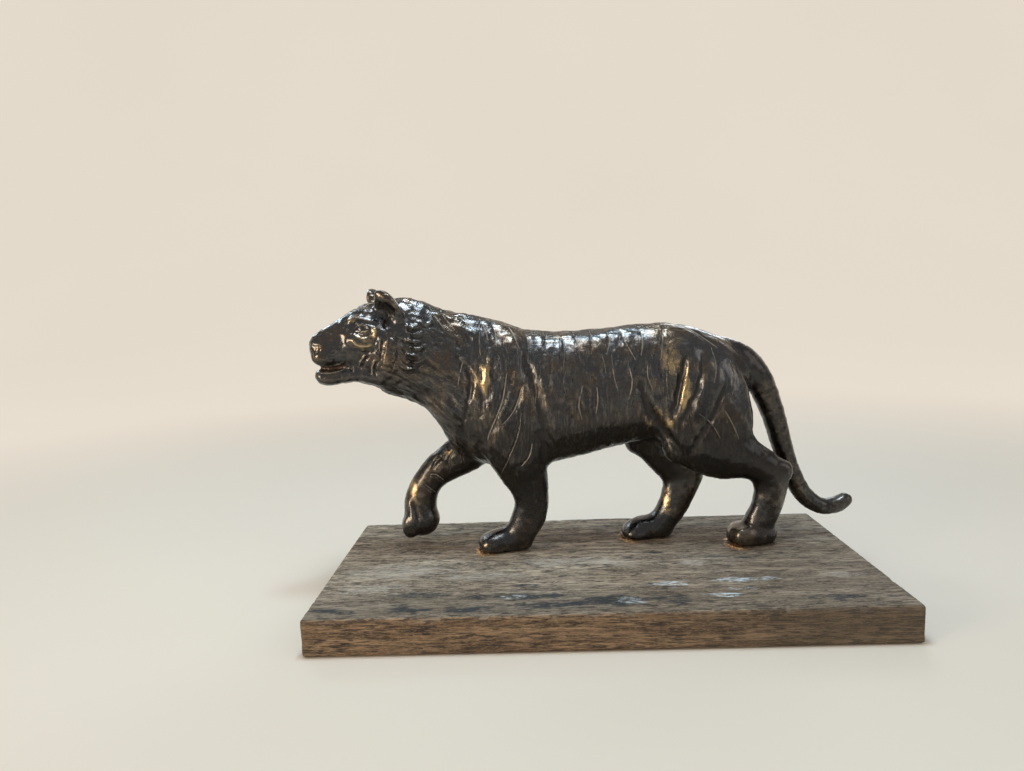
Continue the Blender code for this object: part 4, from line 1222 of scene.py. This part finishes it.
# %% Drilling the holes
PEGS = {"near_fore": (-18.2, 6.4), "near_hind": (33.3, 6.4), "far_hind": (12.7, 12.4)}
HOLE_RADIUS, HOLE_FOOT, DRILL_TOP = 1.6, 2.8, BOARD_TOP + 1
for name, (x, y) in PEGS.items():
    bm = bmesh.new()
    bmesh.ops.create_cone(bm, cap_ends=True, segments=24, radius1=HOLE_RADIUS * MM,
                          radius2=HOLE_RADIUS * MM, depth=(DRILL_TOP - HOLE_FOOT) * MM)
    bmesh.ops.translate(bm, vec=Vector((x, y, (DRILL_TOP + HOLE_FOOT) / 2)) * MM, verts=bm.verts)
    drill = linked("drill", mesh_of(bm, "drill"))
    hole = board.modifiers.new(name, "BOOLEAN")
    hole.operation, hole.solver, hole.object = "DIFFERENCE", "EXACT", drill
    drilled = worked_out(board)
    board.modifiers.remove(hole)
    board.data = drilled
    bpy.data.objects.remove(drill)
board.data.name = "weathered_board"
print("board after drilling:", len(board.data.polygons), "faces")

# %% [markdown]
# ## The finish of the wood
# Old wood is many thin lines of slightly different colour, with dark pores drawn out
# along the grain: noise stretched along X. The material takes grey tones for the top and
# brown ones for the sides, and lays the stored blotches over them.

# %% Group: open-grained wood
def open_grain():
    """The group: year lines, fibres, pores and weather spots in three tones."""
    group, inputs, end = new_group(
        "open_grain",
        [("Where", VECTOR, None), ("Dark", COLOUR, (0.10, 0.08, 0.06, 1)),
         ("Middle", COLOUR, (0.27, 0.22, 0.17, 1)), ("Light", COLOUR, (0.42, 0.37, 0.30, 1)),
         ("Pore", COLOUR, (0.034, 0.027, 0.022, 1))],
        [("Colour", COLOUR), ("Pores", NUMBER), ("Height", NUMBER)])
    where, dark, middle, light, pore = inputs
    years = grain(where, 620.0, 3.0, 0.6, (0.07, 0.8, 1.0))
    fibres = grain(where, 5200.0, 3.0, 0.6, (0.05, 0.50, 1.0))
    dashes = grain(where, 5200.0, 2.0, 0.5, (0.09, 0.50, 1.0))
    specks = grain(where, 6000.0, 2.0, 0.6, (0.25, 0.60, 1.0))
    mottle = grain(where, 300.0, 5.0, 0.68, (0.5, 1.0, 1.0))
    pores = climb(dashes, 0.54, 0.62) * climb(mottle, 0.30, 0.56)
    tone = mixed(climb(years, 0.36, 0.64), middle, light)
    for share, laid in ((climb(fibres, 0.42, 0.60) * 0.80, dark),
                        (climb(mottle, 0.45, 0.66) * 0.45, dark),
                        (climb(specks, 0.50, 0.66) * 0.55, light), (pores * 0.92, pore)):
        tone = mixed(share, tone, laid)
    feed(end, Colour=tone, Pores=pores, Height=fibres * -0.6 + pores * -0.8)
    return group


OPEN_GRAIN = open_grain()
print("grain group has", len(OPEN_GRAIN.nodes), "nodes")

# %% Material: weathered hardwood
wood, tree, shader = new_material("weathered_hardwood")
where = object_place(tree)


def grained(dark, middle, light):
    made = add(tree, "ShaderNodeGroup", {"Where": where}, node_tree=OPEN_GRAIN)
    for label, colour in (("Dark", dark), ("Middle", middle), ("Light", light)):
        made.inputs[label].default_value = (*colour, 1)
    return [Value(made.outputs[name]) for name in ("Colour", "Pores", "Height")]


grey, pores, relief = grained((0.090, 0.070, 0.048), (0.315, 0.250, 0.178), (0.58, 0.485, 0.360))
brown, _, _ = grained((0.034, 0.019, 0.012), (0.210, 0.126, 0.070), (0.42, 0.275, 0.155))
ragged = grain(where, 1100.0, 4.0, 0.6, (0.22, 1.0, 1.0))
streaks = grain(where, 3400.0, 3.0, 0.65, (0.20, 1.0, 1.0))
patches = climb(grain(where, 60.0, 3.0, 0.6, (0.5, 1.0, 1.0)), 0.40, 0.68)
torn = streaks * 0.6 + ragged * 0.4
weathered = climb(ragged * 0.5 + property_of(tree, "top"), 0.55, 0.95) * (patches * -0.35 + 1.0)


def laid_over(skin, share, colour):
    return mixed(share, skin, (*colour, 1))


def blotched(skin, kept, share, low, high, colour):
    """A stored blotch over the colour so far; the torn noise eats into it."""
    return laid_over(skin, property_of(tree, kept) * climb(torn, low, high) * share, colour)


skin = mixed(weathered, brown, grey)
# Worn edges, lighter, also as painted edge highlight.
worn_and_lit_edge = climb(property_of(tree, "edge_wear_and_highlight") * ragged, 0.25, 0.60)
skin = laid_over(skin, worn_and_lit_edge * 0.7, (0.46, 0.36, 0.25))
# Painted shade to the right and along the front.
skin = laid_over(skin, property_of(tree, "painted_board_shade") * 0.62, (0.090, 0.072, 0.050))
skin = blotched(skin, "pale", 0.75, 0.42, 0.58, (0.50, 0.455, 0.385))
# Painted shadow of the tiger and painted reflected glow around the paws.
skin = blotched(skin, "painted_shadow_and_glow", 0.50, 0.25, 0.60, (0.16, 0.095, 0.050))
skin = laid_over(skin, property_of(tree, "furrow") * 0.35, (0.075, 0.058, 0.046))
skin = blotched(skin, "stain", 0.95, 0.38, 0.50, (0.022, 0.028, 0.032))
skin = blotched(skin, "chalk", 0.95, 0.47, 0.55, (0.64, 0.73, 0.77))
glue = property_of(tree, "glue")
# Dark amber with bright golden specks; the specks are painted glints.
amber_and_glints = mixed(climb(grain(where, 2200.0, 2.0), 0.48, 0.66), (0.30, 0.13, 0.040, 1),
              (0.85, 0.50, 0.19, 1))
bump = add(tree, "ShaderNodeBump", {"Height": relief, "Distance": 0.00013, "Strength": 0.8})
feed(shader, Base_Color=mixed(glue * 0.85, skin, amber_and_glints),
     Roughness=glue * -0.62 + pores * 0.12 + 0.80, Normal=Value(bump.outputs[0]))
board.data.materials.clear()
board.data.materials.append(wood)
print("wood finish has", len(tree.nodes), "nodes")

# %% [markdown]
# ## The backdrop's finish
# Near the object the pale sheet is lit by the lamps and takes the shadow. Farther off it
# glows, but only for the camera and, behind the tiger, in reflections, so that no light
# is added and a dark room in front gives black metal its depth.

# %% Material: pale sheet
PAPER = (0.74, 0.665, 0.565, 1), (0.79, 0.72, 0.62, 1)
UNLIT = (0, 0, 0, 1)
sheet, tree, shader = new_material("pale_sheet")
where = object_place(tree)
far = Value(add(tree, "ShaderNodeVectorMath", {0: where}, operation="LENGTH").outputs["Value"])
rays = add(tree, "ShaderNodeLightPath").outputs
depth = Value(add(tree, "ShaderNodeSeparateXYZ", {0: where}).outputs["Y"])
mirrored = Value(rays["Is Glossy Ray"]) * climb(depth, -0.06, 0.12)
hung = climb(far, 0.10, 0.34) * most(Value(rays["Is Camera Ray"]), mirrored)
tint = mixed(grain(where, 3.0), *PAPER)
feed(shader, Base_Color=mixed(hung, tint, UNLIT), Emission_Color=mixed(hung, UNLIT, tint))
shader.inputs["Emission Strength"].default_value = 1.0
shader.inputs["Roughness"].default_value = 0.9
backdrop.data.materials.append(sheet)
print("sheet finish has", len(tree.nodes), "nodes")

# %% [markdown]
# ## Tying the pieces to the frame
# Each piece is tied to its body, and the box before and after is printed.

# %% Tie the pieces to the frame and finish
for piece, slot in ((casting, "casting"), (strokes, "casting"), (ridges, "casting"),
                    (board, "board")):
    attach(piece, "root")
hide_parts("tiger")
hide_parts("tiger")
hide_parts("tiger")
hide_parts("wooden_base")
sizes = {"cad": [list(corner) for corner in CAD_BOX],
         "visual": [list(corner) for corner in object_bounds()]}
for name, box in sizes.items():
    print(name, "box in mm:", [[round(v / MM, 2) for v in corner] for corner in box])
